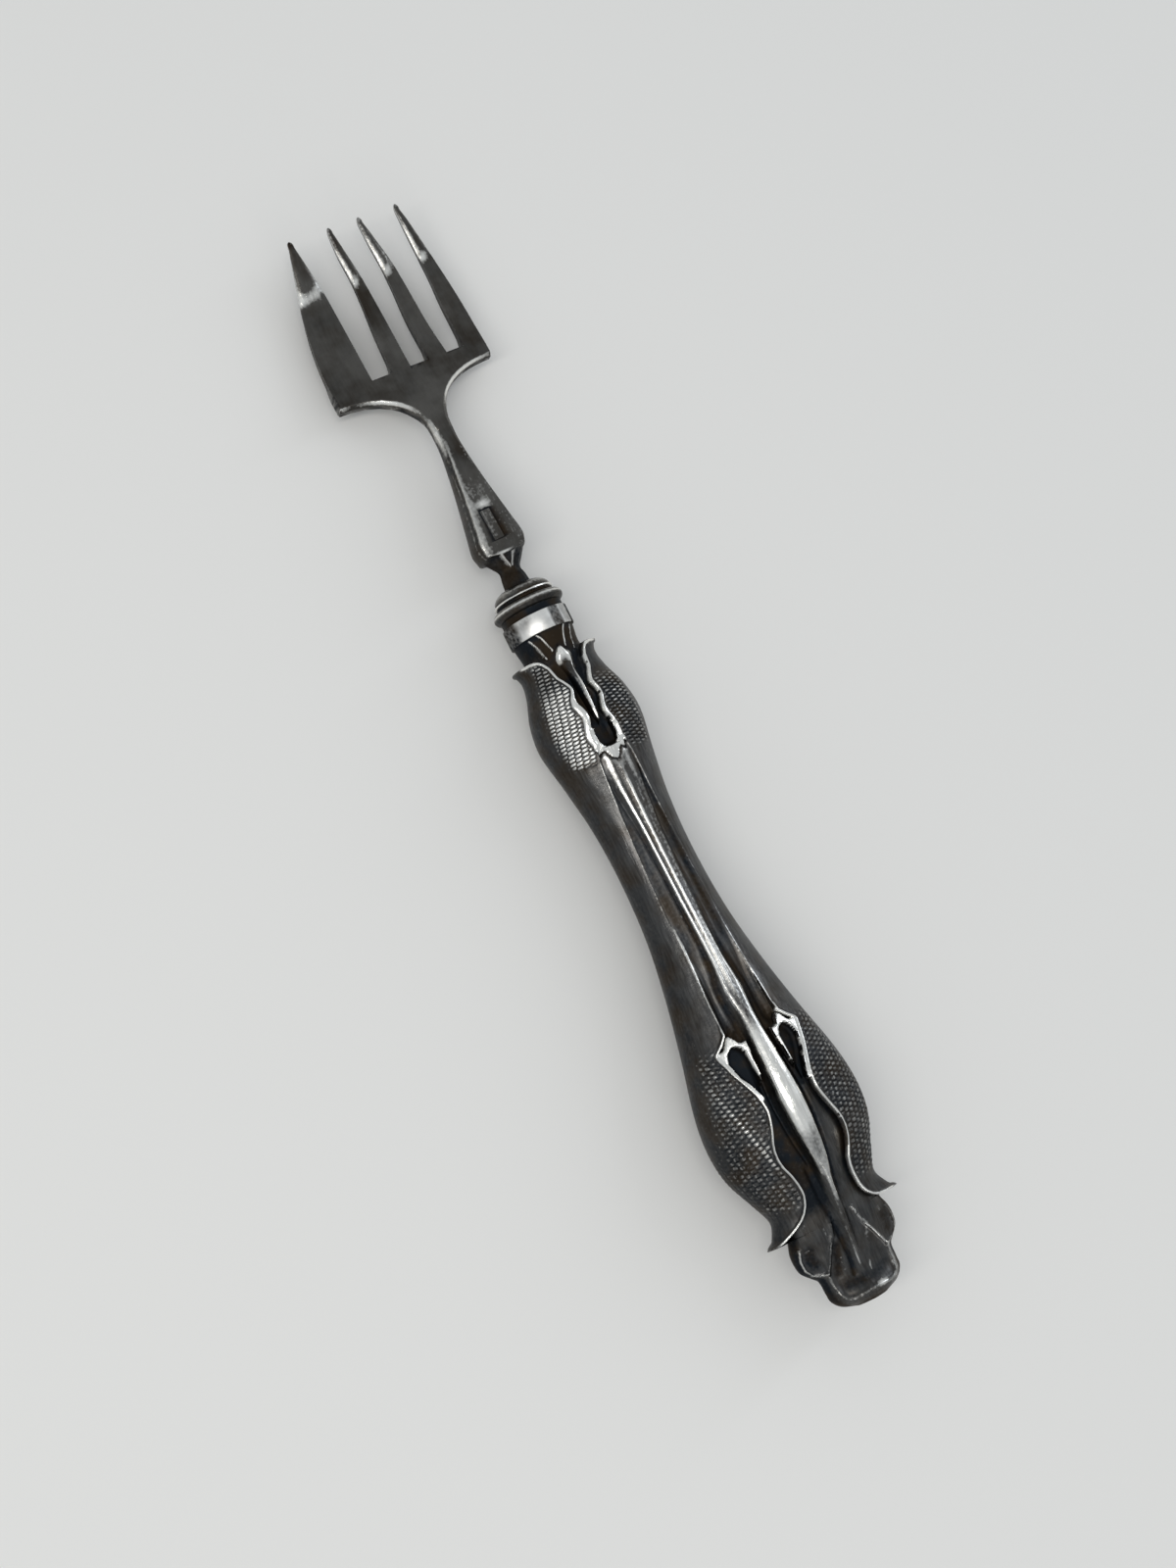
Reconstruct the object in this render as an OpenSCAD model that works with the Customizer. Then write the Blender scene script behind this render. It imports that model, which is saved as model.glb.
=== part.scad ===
// Oyster fork with a hollow, filled handle in the foliage style of about 1900.
// The fork's own axis is +Y, from the end of the handle to the tines; the hollow side of the tines is up.
// It rests on the back of the handle's two swells, so the axis dips towards the tines, which hover a little.

/* [Overall] */
// Length of the pressed handle shells
handle_len = 87.8; // [84:0.2:92]
// Half width of the handle at its lower swell
bulge_half = 10.15; // [9.4:0.05:10.8]
// Half thickness of the handle at its lower swell
bulge_rise = 7; // [6.4:0.05:7.6]
// Length of the plain ferrule
ferrule_len = 2.5; // [2:0.1:4]
// Length of the bolster that shows, flange and dome
bolster_len = 4.4; // [4:0.1:5]
// Length of the shank, from the bolster to the shoulders
shank_len = 28.2; // [25:0.2:32]
// Length of the head, from the shoulders to the points of the tines
head_len = 22.1; // [20:0.1:25]

/* [Head] */
// Half width of the head across its shoulders
head_half = 10.35; // [9.4:0.05:11]
// Length of the bridge between the shoulders and the bottoms of the slots
bridge_len = 2.4; // [2:0.1:3.2]
// Distance from the points back to the bend of the tines
bend_back = 7.5; // [6:0.1:9]
// Height of the points above the flat of the head
point_lift = 1.8; // [1.2:0.1:2.6]
// Depth of the tines' hollow side under the handle's axis, at their lowest
flat_drop = 0.35; // [0.1:0.05:0.6]
// Thickness of the bridge and of the tines' roots
bridge_t = 1.8; // [1.5:0.05:2.1]
// Thickness of the tines at their bend
tine_t = 1.35; // [1.1:0.05:1.5]
// Thickness of the points
point_t = 0.6; // [0.4:0.05:0.8]
// Half width of a blunt point
point_half = 0.32; // [0.2:0.02:0.45]

/* [Shank] */
// Half width of the shank where it is widest
shank_half = 3.35; // [3:0.05:3.8]
// Half thickness of the shank where it is widest
shank_rise = 2.65; // [2.3:0.05:2.9]
// Half width of the shank at its slim neck under the shoulders
neck_half = 1.42; // [1.2:0.02:1.6]
// Height of the neck's middle over the handle's axis
neck_lift = 0.6; // [0.3:0.05:0.9]
// Radius of the shank's foot on the dome
foot_r = 1.7; // [1.6:0.05:1.9]
// Length of the mark's recess on the shank, left blank
mark_len = 4.2; // [3.4:0.1:4.6]
// Width of the mark's recess
mark_w = 1.5; // [1.2:0.1:1.8]
// Depth of the mark's recess
mark_deep = 0.18; // [0.1:0.02:0.3]

/* [Bolster and ferrule] */
// Outer radius of the ferrule
ferrule_r = 4.2; // [4.1:0.05:4.35]
// Wall of the ferrule
ferrule_wall = 0.6; // [0.5:0.05:0.7]
// Radius of the bolster's flange
flange_r = 4.55; // [4.5:0.05:4.9]
// Radius of the thin ridge under the dome
ridge_r = 3.9; // [3.7:0.05:4.1]
// Radius of the handle's mouth under the ferrule
mouth_r = 3.9; // [3.7:0.05:4]

/* [Inside] */
// Thickness of the pressed shells at their thinnest
shell_wall = 0.6; // [0.5:0.05:0.7]
// Radius of the round part of the tang
tang_r = 0.85; // [0.75:0.05:0.95]
// Depth to which the tang is set in the shank's foot
tang_set = 3.4; // [2.6:0.1:4]
// Length of the tang's square blade in the filling
blade_len = 34; // [24:1:44]
// Width of the tang's square blade at its root
blade_w = 2.4; // [2:0.1:2.8]
// Width of the tang's square blade at its tip
blade_tip_w = 1.2; // [0.9:0.1:1.6]
// Clearance between the pieces that fit in one another
fit_gap = 0.04; // [0.02:0.01:0.08]
// Gap that the filling leaves to the shells as it sets
fill_gap = 0.1; // [0.06:0.02:0.2]

/* [Hidden] */

// Overrun of the cuts
over = 0.5;

// Stations along the axis
ferrule_y = handle_len;
bolster_y = ferrule_y + ferrule_len;
foot_y = bolster_y + bolster_len;
shoulder_y = foot_y + shank_len;
point_y = shoulder_y + head_len;
root_y = shoulder_y + bridge_len;
bend_y = point_y - bend_back;

// Lowest place of the tines' belly
belly_share = 0.56;
belly_y = root_y + (bend_y - root_y) * belly_share;
belly_z = -flat_drop - bridge_t;
// Parts of the handle, as shares of its length, in which its two swells are looked for
low_swell_share = 0.5;
high_swell_share = 0.9;

// Smooth helpers
function clamp(v) = min(1, max(0, v));
function ease(v) = let (c = clamp(v)) c * c * (3 - 2 * c);
function mix(a, b, t) = a + (b - a) * t;

// Hermite curve through a table of [place, value] pairs with rising places
function span_of(tab, s, i = 0) =
    (i >= len(tab) - 2 || s <= tab[i + 1][0]) ? i : span_of(tab, s, i + 1);
function slope_at(tab, i) =
    i == 0 ? (tab[1][1] - tab[0][1]) / (tab[1][0] - tab[0][0]) :
    i == len(tab) - 1 ? (tab[i][1] - tab[i - 1][1]) / (tab[i][0] - tab[i - 1][0]) :
    (tab[i + 1][1] - tab[i - 1][1]) / (tab[i + 1][0] - tab[i - 1][0]);
function along(tab, s) =
    let (
        i = span_of(tab, s),
        h = tab[i + 1][0] - tab[i][0],
        t = clamp((s - tab[i][0]) / h),
        m0 = slope_at(tab, i) * h,
        m1 = slope_at(tab, i + 1) * h
    )
    tab[i][1] * (1 + 2 * t) * (1 - t) * (1 - t)
        + m0 * t * (1 - t) * (1 - t)
        + tab[i + 1][1] * t * t * (3 - 2 * t)
        - m1 * t * t * (1 - t);

// Outline of the leaves that hold the grains: [share of handle_len, share of bulge_half]
leaf_low_share = 0.1175;
leaf_high_share = 0.9685;
leaf_width_shares = [
    [0.1175, 0.872], [0.127, 0.787], [0.149, 0.702], [0.177, 0.783], [0.222, 0.946],
    [0.2676, 1], [0.319, 0.951], [0.399, 0.778], [0.478, 0.631], [0.558, 0.522],
    [0.649, 0.483], [0.729, 0.512], [0.797, 0.596], [0.854, 0.675], [0.894, 0.631],
    [0.928, 0.525], [0.951, 0.49], [0.9685, 0.542]
];
// Height of the leaves over the seam: [share of handle_len, share of bulge_rise]
leaf_rise_shares = [
    [0.1175, 0.58], [0.148, 0.67], [0.205, 0.85], [0.2676, 0.95], [0.319, 0.93],
    [0.399, 0.82], [0.478, 0.705], [0.569, 0.63], [0.649, 0.6], [0.729, 0.63],
    [0.797, 0.715], [0.854, 0.786], [0.9, 0.76], [0.934, 0.67], [0.9685, 0.59]
];
// Outline of the core between the leaves, which forms the flared end and the throat
core_width_shares = [
    [0, 0.2], [0.008, 0.374], [0.0205, 0.473], [0.033, 0.488], [0.052, 0.503],
    [0.06, 0.565], [0.072, 0.655], [0.086, 0.68], [0.1, 0.672], [0.1175, 0.62],
    [0.149, 0.58], [0.177, 0.66], [0.222, 0.84], [0.2676, 0.91], [0.319, 0.88],
    [0.399, 0.74], [0.478, 0.615], [0.558, 0.515], [0.649, 0.478], [0.729, 0.5],
    [0.797, 0.56], [0.854, 0.58], [0.894, 0.53], [0.928, 0.45], [0.951, 0.4]
];
// Height of the core over the seam
core_rise_shares = [
    [0, 0.2], [0.008, 0.3], [0.0205, 0.34], [0.05, 0.31], [0.086, 0.41],
    [0.1175, 0.5], [0.16, 0.6], [0.205, 0.71], [0.2676, 0.75], [0.319, 0.745],
    [0.36, 0.725], [0.399, 0.7], [0.478, 0.665], [0.569, 0.61], [0.649, 0.585],
    [0.729, 0.61], [0.797, 0.69], [0.8165, 0.7], [0.8245, 0.63], [0.86, 0.6],
    [0.9, 0.585], [0.93, 0.545], [0.951, 0.52]
];
// Half width of the middle rib: [share of handle_len, share of bulge_half]
rib_width_shares = [
    [0.1, 0.09], [0.19, 0.1], [0.235, 0.148], [0.285, 0.166], [0.32, 0.155],
    [0.357, 0.13], [0.41, 0.11], [0.5, 0.085], [0.6, 0.092], [0.69, 0.108],
    [0.74, 0.14], [0.78, 0.172], [0.8, 0.174]
];
// Height of the middle rib over the core: [share of handle_len, share of bulge_rise]
rib_rise_shares = [
    [0.04, 0.02], [0.1, 0.1], [0.16, 0.16], [0.2, 0.22], [0.2676, 0.25], [0.32, 0.23],
    [0.36, 0.19], [0.4, 0.143], [0.478, 0.06], [0.569, 0.035], [0.65, 0.044],
    [0.729, 0.047], [0.797, 0.042], [0.8178, 0.04]
];

// Pleats of the flared end, side ridges of the waist and rims of the leaves, from the end up:
// [share of handle_len, share of bulge_half]
rim_shares = [
    [0, 0.42], [0.06, 0.417], [0.081, 0.3], [0.099, 0.212], [0.1174, 0.177],
    [0.1175, 0.86], [0.1195, 0.6], [0.123, 0.527], [0.131, 0.431], [0.1429, 0.363],
    [0.1572, 0.32], [0.1714, 0.312], [0.1856, 0.323], [0.1982, 0.357], [0.2113, 0.406],
    [0.2244, 0.433], [0.2358, 0.431], [0.2466, 0.409], [0.2608, 0.365], [0.2756, 0.328],
    [0.287, 0.31], [0.2995, 0.315], [0.3121, 0.335], [0.3246, 0.369], [0.3383, 0.414],
    [0.3502, 0.451], [0.3633, 0.481], [0.3793, 0.517], [0.39, 0.42], [0.4, 0.34],
    [0.4419, 0.325], [0.4727, 0.31], [0.5296, 0.296], [0.5786, 0.286], [0.65, 0.26],
    [0.73, 0.23], [0.8, 0.2], [0.8178, 0.17], [0.8269, 0.143], [0.837, 0.148],
    [0.8508, 0.128], [0.86, 0.103], [0.869, 0.097], [0.878, 0.113], [0.887, 0.143],
    [0.895, 0.143], [0.91, 0.11], [0.9157, 0.123], [0.9237, 0.153], [0.9317, 0.187],
    [0.9408, 0.202], [0.9499, 0.217], [0.959, 0.256], [0.9647, 0.305], [0.9675, 0.4],
    [0.9685, 0.53], [1, 0.3]
];

// Width of the step at a rim, and the bead that runs along it
step_w = 0.5;
bead_w = 0.5;
bead_h = 0.22;
// The stem in the upper recess, from its point to its bud
stem_low_share = 0.853;
stem_high_share = 0.972;
stem_half = 0.7;
stem_rise = 0.9;

function leaf_a(y) = bulge_half * along(leaf_width_shares, y / handle_len);
function leaf_b(y) = bulge_rise * along(leaf_rise_shares, y / handle_len);
throat_share = 0.951;
function core_a(y) =
    let (s = y / handle_len)
    s < throat_share ? bulge_half * along(core_width_shares, s) : throat(y, true);
function core_b(y) =
    let (s = y / handle_len)
    s < throat_share ? bulge_rise * along(core_rise_shares, s) : throat(y, false);
// The throat turns round as it rises to the ferrule
throat_r_share = 0.94;
function throat(y, wide) =
    let (
        t = (y / handle_len - throat_share) / (1 - throat_share),
        start = wide
            ? bulge_half * core_width_shares[len(core_width_shares) - 1][1]
            : bulge_rise * core_rise_shares[len(core_rise_shares) - 1][1],
        mid = mouth_r * throat_r_share
    )
    t < 0.5 ? mix(start, mid, ease(t * 2)) : mix(mid, mouth_r, ease(t * 2 - 1));
function dome(x, a, b) = abs(x) >= a ? 0 : b * sqrt(1 - x * x / (a * a));
function in_leaves(y) = y >= handle_len * leaf_low_share && y <= handle_len * leaf_high_share;
// The beads run from the crown up, and from the loops down
waist_low_share = 0.42;
waist_high_share = 0.8178;
function in_waist(y) = y > handle_len * waist_low_share && y < handle_len * waist_high_share;
function half_at(y) = in_leaves(y) ? leaf_a(y) : core_a(y);
// A rim stops a little short of the seam, even at the flared tips
rim_stop_share = 0.93;
function rim_x(y) =
    min(bulge_half * lookup(y / handle_len, rim_shares), rim_stop_share * half_at(y) - step_w / 2);
function rib_x(y) = bulge_half * along(rib_width_shares, y / handle_len);

// The rib's sides fall from its shoulder to its foot
rib_foot_share = 1.2;
rib_top_share = 0.7;
function rib_rise(x, y) =
    let (
        s = y / handle_len,
        w = rib_x(y),
        h = bulge_rise * along(rib_rise_shares, s),
        side = (rib_foot_share * w - abs(x)) / ((rib_foot_share - rib_top_share) * w)
    )
    s > waist_high_share ? 0 : h * ease(side);
function stem_x(y) =
    let (t = clamp((y / handle_len - stem_low_share) / (stem_high_share - stem_low_share)))
    stem_half * mix(0.35, 1.7, t * t);
function stem_over(x, y) =
    let (s = y / handle_len, t = clamp((s - stem_low_share) / (stem_high_share - stem_low_share)))
    (s < stem_low_share || s > stem_high_share) ? 0 :
    stem_rise * ease(t * 5) * clamp(1 - abs(x) / stem_x(y));
function core_over(x, y) = dome(x, core_a(y), core_b(y)) + rib_rise(x, y) + stem_over(x, y);
function leaf_over(x, y) = dome(x, leaf_a(y), leaf_b(y));
function bead(y) = in_waist(y) ? 0 : bead_h;
function rise(x, y) =
    !in_leaves(y) ? core_over(x, y) :
    abs(x) > rim_x(y) + step_w / 2 + bead_w + step_w / 8 ? leaf_over(x, y) :
    abs(x) > rim_x(y) ? leaf_over(x, y) + bead(y) * clamp(leaf_over(x, y) / bead_w) :
    core_over(x, y);

// Stations along one shell: [share of handle_len, how many rows lead to it], close at the leaf tips
row_shares = [
    [0.008, 3], [0.033, 3], [0.072, 4], [0.116, 6], [0.1195, 3], [0.131, 3],
    [0.2, 9], [0.36, 20], [0.41, 8], [0.8, 22], [0.83, 6], [0.955, 20], [0.9675, 4]
];
rows_y = handle_len * concat(
    [0],
    [for (i = [0 : len(row_shares) - 1], k = [1 : row_shares[i][1]])
        mix(i == 0 ? 0 : row_shares[i - 1][0], row_shares[i][0], k / row_shares[i][1])],
    [leaf_high_share, leaf_high_share + 0.0015, 0.977, 0.984, 0.99, 0.995, 1]
);
row_count = len(rows_y);

// Points across one shell: the leaf, the bead and the step at its rim, the groove and the rib
leaf_cols = 7;
groove_cols = 2;
half_cols = leaf_cols + groove_cols + 6;
across = 2 * half_cols;
inner_across = 8;
bead_stop_share = 0.97;
foot_share = 0.9;
function half_row(y) =
    let (
        a = half_at(y),
        rim = rim_x(y) + step_w / 2,
        bead_foot = min(rim + bead_w, a * bead_stop_share),
        turn = acos(bead_foot / a),
        foot = rim_x(y) - step_w / 2,
        rib_want = y < handle_len * waist_high_share ? rib_foot_share * rib_x(y) : stem_x(y),
        rib_foot = min(foot * foot_share, rib_want),
        rib_top = rib_foot * rib_top_share / rib_foot_share
    )
    concat(
        [for (k = [0 : leaf_cols]) a * cos(turn * k / leaf_cols)],
        [mix(bead_foot, rim, 0.15), mix(bead_foot, rim, 0.85), rim, foot],
        [for (k = [1 : groove_cols]) mix(foot, rib_foot, k / groove_cols)],
        [rib_top]
    );
function outer_row(y) =
    let (
        xs = half_row(y),
        low = half_at(y) * 0.002,
        left = [for (x = xs) [-x, y, x == xs[0] ? 0 : max(rise(x, y), low)]],
        count = len(left)
    )
    concat(
        [for (i = [0 : count - 1]) [-left[i][0], y, left[i][2]]],
        [[0, y, max(rise(0, y), low)]],
        [for (i = [count - 1 : -1 : 0]) left[i]]
    );
// The hollow starts behind a solid end
hollow_start = 3.2;
function inner_y(y) = mix(hollow_start, handle_len, y / handle_len);
function inner_row(y, less, count) = [
    for (j = [0 : count])
        let (a = 180 * j / count)
        [(core_a(y) - less) * cos(a), y, (core_b(y) - less) * sin(a)]
];

function strip(base, rows, cols, flip) = [
    for (i = [0 : rows - 2], j = [0 : cols - 2])
        let (p = base + i * cols + j, q = p + cols)
        for (face = flip ? [[p, q, p + 1], [p + 1, q, q + 1]] : [[p, p + 1, q], [p + 1, q + 1, q]]) face
];

// Every second station has a row of the hollow
inner_rows_y = [for (i = [0 : 2 : row_count - 1]) inner_y(rows_y[i])];
inner_count = len(inner_rows_y);
skin = [for (y = rows_y) outer_row(y)];
module half_shell() {
    inner = [for (y = inner_rows_y) inner_row(y, shell_wall, inner_across)];
    points = concat([for (r = skin) for (p = r) p], [for (r = inner) for (p = r) p]);
    cols = across + 1;
    in_cols = inner_across + 1;
    start = row_count * cols;
    last = row_count - 1;
    in_last = inner_count - 1;
    faces = concat(
        strip(0, row_count, cols, false),
        strip(start, inner_count, in_cols, true),
        // The two strips of the seam
        [for (k = [0 : in_last - 1])
            let (p = 2 * k * cols, q = start + k * in_cols)
            for (face = [
                [p, p + cols, q],
                [q, p + cols, q + in_cols],
                [p + cols, p + 2 * cols, q + in_cols]
            ]) face],
        [for (k = [0 : in_last - 1])
            let (p = 2 * k * cols + across, q = start + k * in_cols + inner_across)
            for (face = [
                [p, q, p + cols],
                [q, q + in_cols, p + cols],
                [p + cols, q + in_cols, p + 2 * cols]
            ]) face],
        // The outer end, the floor of the hollow and the seam between them
        [[for (j = [across : -1 : 0]) j]],
        [[for (j = [0 : inner_across]) start + j]],
        [[0, start, start + inner_across, across]],
        // The mouth
        [for (k = [0 : inner_across - 1])
            let (
                from = round(k * across / inner_across),
                to = round((k + 1) * across / inner_across),
                p = last * cols,
                q = start + in_last * in_cols + k
            )
            for (face = concat([for (j = [from : to - 1]) [p + j, p + j + 1, q]], [[p + to, q + 1, q]])) face]
    );
    polyhedron(points, faces, convexity = 8);
}

// The back's two swells touch the floor: the lift is the farthest reach of all outer points along the floor's
// normal, and the tilt makes both swells reach equally far
function reach(t, from, to) = max([
    for (r = skin) if (r[0][1] >= from && r[0][1] <= to) for (p = r) p[2] * cos(t) + p[1] * sin(t)
]);
low_end = low_swell_share * handle_len;
high_end = high_swell_share * handle_len;
function level(low, high, steps) =
    let (t = (low + high) / 2)
    steps == 0 ? t :
    reach(t, 0, low_end) > reach(t, low_end, high_end) ? level(t, high, steps - 1) : level(low, t, steps - 1);
rest_tilt = level(0, 4, 16);
rest_lift = reach(rest_tilt, 0, handle_len);
mid_y = point_y * cos(rest_tilt) / 2;
module lay_down() {
    translate([0, -mid_y, rest_lift]) rotate([-rest_tilt, 0, 0]) children();
}

module handle_front_shell() {
    color([0.55, 0.56, 0.55]) lay_down() half_shell();
}

module handle_back_shell() {
    color([0.5, 0.51, 0.5]) lay_down() mirror([0, 0, 1]) half_shell();
}

// Spigot of the bolster: it fills the ferrule, and a narrower nose enters the handle's mouth
spigot_r = ferrule_r - ferrule_wall - fit_gap;
nose_r = mouth_r - shell_wall - 2 * fit_gap;
nose_len = 1.5;
throat_inner = mouth_r * throat_r_share - shell_wall;
nose_slim = min(nose_r, throat_inner - 2 * fit_gap);

// Filling of pitch: the shells' hollow less a gap, and a square way for the tang
fill_high = handle_len - nose_len - fit_gap;
module fill_body() {
    low = hollow_start + fill_gap;
    rows = concat([for (y = inner_rows_y) if (y > low && y < fill_high - fill_gap) y], [fill_high]);
    cols = 2 * inner_across;
    less = shell_wall + fill_gap;
    points = [
        for (y = rows, j = [0 : cols - 1])
            let (a = 180 * j / inner_across)
            [(core_a(y) - less) * cos(a), y, (core_b(y) - less) * sin(a)]
    ];
    last = len(rows) - 1;
    faces = concat(
        [for (i = [0 : last - 1], j = [0 : cols - 1])
            let (p = i * cols + j, q = i * cols + (j + 1) % cols)
            for (face = [[p, q, p + cols], [q, q + cols, p + cols]]) face],
        [[for (j = [cols - 1 : -1 : 0]) j]],
        [[for (j = [0 : cols - 1]) last * cols + j]]
    );
    polyhedron(points, faces, convexity = 4);
}

// The tang's square blade tapers in both directions
blade_y = handle_len - nose_len - 2 * fit_gap;
blade_low = blade_y - blade_len;
module blade(more) {
    w = blade_w / 2 + more;
    tip = blade_tip_w / 2 + more;
    low = blade_low - more;
    high = blade_y + 3 * more;
    side = [[-tip, low], [tip, low], [w, high], [-w, high]];
    intersection() {
        translate([0, 0, -blade_w]) linear_extrude(2 * blade_w) polygon(side);
        rotate([0, 90, 0]) translate([0, 0, -blade_w]) linear_extrude(2 * blade_w) polygon(side);
    }
}

module handle_filling() {
    color([0.16, 0.12, 0.09]) lay_down() difference() {
        fill_body();
        blade(fit_gap);
    }
}

module tang() {
    top = foot_y + tang_set - fit_gap;
    color([0.42, 0.42, 0.43]) lay_down() union() {
        blade(0);
        translate([0, blade_y - over, 0]) rotate([-90, 0, 0])
            cylinder(r = tang_r, h = top - blade_y + over, $fn = 48);
    }
}

// Turned bolster: spigot, groove, flange, thin ridge and dome
groove_r = flange_r * 0.89;
groove_len = bolster_len * 0.2;
flange_len = bolster_len * 0.32;
step_r = ridge_r * 0.93;
step_len = bolster_len * 0.09;
ridge_len = bolster_len * 0.09;
dome_len = bolster_len - groove_len - flange_len - step_len - ridge_len;
dome_steps = 8;
module bolster_profile() {
    flange_top = groove_len + flange_len;
    ridge_low = flange_top + step_len;
    dome_low = ridge_low + ridge_len;
    polygon(concat(
        [
            [tang_r + fit_gap, -ferrule_len - nose_len],
            [nose_slim, -ferrule_len - nose_len],
            [nose_slim, -ferrule_len + fit_gap],
            [spigot_r, -ferrule_len + fit_gap],
            [spigot_r, 0],
            [groove_r, 0],
            [groove_r, groove_len]
        ],
        [for (k = [0 : dome_steps])
            let (a = -90 + 180 * k / dome_steps, round = flange_len / 2)
            [flange_r - round + round * cos(a), groove_len + round * (1 + sin(a))]],
        [
            [step_r, flange_top],
            [step_r, ridge_low],
            [ridge_r, ridge_low + ridge_len / 2],
            [step_r, dome_low]
        ],
        [for (k = [1 : dome_steps])
            let (a = 90 * k / dome_steps)
            [foot_r + (step_r - foot_r) * cos(a), dome_low + dome_len * sin(a)]],
        [[tang_r + fit_gap, bolster_len]]
    ));
}

module bolster() {
    color([0.5, 0.5, 0.49]) lay_down() translate([0, bolster_y, 0]) rotate([-90, 0, 0])
        rotate_extrude($fn = 72) bolster_profile();
}

module ferrule() {
    color([0.72, 0.72, 0.7]) lay_down() translate([0, ferrule_y, 0]) rotate([-90, 0, 0])
        difference() {
            cylinder(r = ferrule_r, h = ferrule_len, $fn = 72);
            translate([0, 0, -over])
                cylinder(r = ferrule_r - ferrule_wall, h = ferrule_len + 2 * over, $fn = 72);
        }
}

// Shank: [share of shank_len, share of shank_half, share of shank_rise, share of the flat's width,
// share of neck_lift]
shank_shares = [
    [0, foot_r / shank_half, foot_r / shank_rise, 0.6, 0],
    [0.045, 0.47, 0.58, 0.6, 0], [0.082, 0.448, 0.535, 0.6, 0.05],
    [0.12, 0.63, 0.7, 0.64, 0.15], [0.155, 0.88, 0.88, 0.75, 0.25], [0.19, 0.985, 0.975, 0.79, 0.3],
    [0.225, 1, 1, 0.79, 0.35], [0.287, 0.9, 0.975, 0.8, 0.45], [0.376, 0.755, 0.89, 0.8, 0.6],
    [0.46, 0.635, 0.79, 0.78, 0.75], [0.546, 0.525, 0.69, 0.74, 0.85], [0.65, 0.44, 0.59, 0.64, 0.95],
    [0.72, 0.412, 0.53, 0.52, 1], [0.79, 0.425, 0.48, 0.5, 1]
];
neck_rise = shank_rise * 0.48;
// Where the edge between a side facet and its neighbour lies
facet_in_share = 0.3;
facet_up_share = 0.62;
function shank_ring(s, a, b, flat, z) =
    let (y = foot_y + s * shank_len, side = a * mix(1, flat, facet_in_share), mid = b * facet_up_share)
    [for (p = [
        [a, 0], [side, mid], [a * flat, b], [-a * flat, b], [-side, mid],
        [-a, 0], [-side, -mid], [-a * flat, -b], [a * flat, -b], [side, -mid]
    ]) [p[0], y, z + p[1]]];
// The last ring lies inside the head's plate
tail_share = 0.9;
tail_lift_share = 0.3;
module shank() {
    rings = concat(
        [for (r = shank_shares)
            shank_ring(r[0], shank_half * r[1], shank_rise * r[2], r[3], neck_lift * r[4])],
        [shank_ring(tail_share, neck_half, bridge_t * 0.4, 0.5, neck_lift * tail_lift_share)]
    );
    n = len(rings[0]);
    points = [for (r = rings) for (p = r) p];
    faces = concat(
        [for (i = [0 : len(rings) - 2], j = [0 : n - 1])
            let (p = i * n + j, q = i * n + (j + 1) % n)
            for (face = [[p, q, p + n], [q, q + n, p + n]]) face],
        [[for (j = [n - 1 : -1 : 0]) j]],
        [[for (j = [0 : n - 1]) (len(rings) - 1) * n + j]]
    );
    polyhedron(points, faces, convexity = 4);
}

// Shoulders sweep from the neck to the corners on a quarter of a fuller ellipse
arc_steps = 14;
arc_low_share = 0.755;
arc_low = foot_y + shank_len * arc_low_share;
arc_power = 0.87;
function shoulder_arc(side) = [
    for (k = [0 : arc_steps])
        let (a = 90 * k / arc_steps)
        [
            side * (head_half - (head_half - neck_half) * pow(cos(a), arc_power)),
            arc_low + (shoulder_y - arc_low) * pow(sin(a), arc_power)
        ]
];
// Tines: [left at the slot, right at the slot, left at the bend, right at the bend, point],
// as shares of head_half; the first one is broad, for cutting
tine_shares = [
    [-1, -0.481, -0.865, -0.523, -0.675],
    [-0.211, 0.026, -0.151, -0.01, -0.165],
    [0.275, 0.512, 0.268, 0.423, 0.226],
    [0.739, 1, 0.744, 0.914, 0.719]
];
// The broad tine's outer edge stays full before it tapers
edge_full_share = 0.5;
edge_full_width_share = 0.965;
function flank(near, far) = [
    [near * head_half, root_y],
    [far * head_half, bend_y]
];
function tine_outline(t, first) = concat(
    first
        ? [
            [t[0] * head_half, root_y],
            [-edge_full_width_share * head_half, mix(root_y, bend_y, edge_full_share)],
            [t[2] * head_half, bend_y]
        ]
        : flank(t[0], t[2]),
    [
        [t[4] * head_half - point_half, point_y - point_half],
        [t[4] * head_half, point_y],
        [t[4] * head_half + point_half, point_y - point_half]
    ],
    [[t[3] * head_half, bend_y], [t[1] * head_half, root_y]]
);
function reversed(list) = [for (i = [len(list) - 1 : -1 : 0]) list[i]];
module head_outline() {
    count = len(tine_shares);
    polygon(concat(
        shoulder_arc(-1),
        [for (i = [0 : count - 1]) for (p = tine_outline(tine_shares[i], i == 0)) p],
        reversed(shoulder_arc(1))
    ));
}
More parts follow.
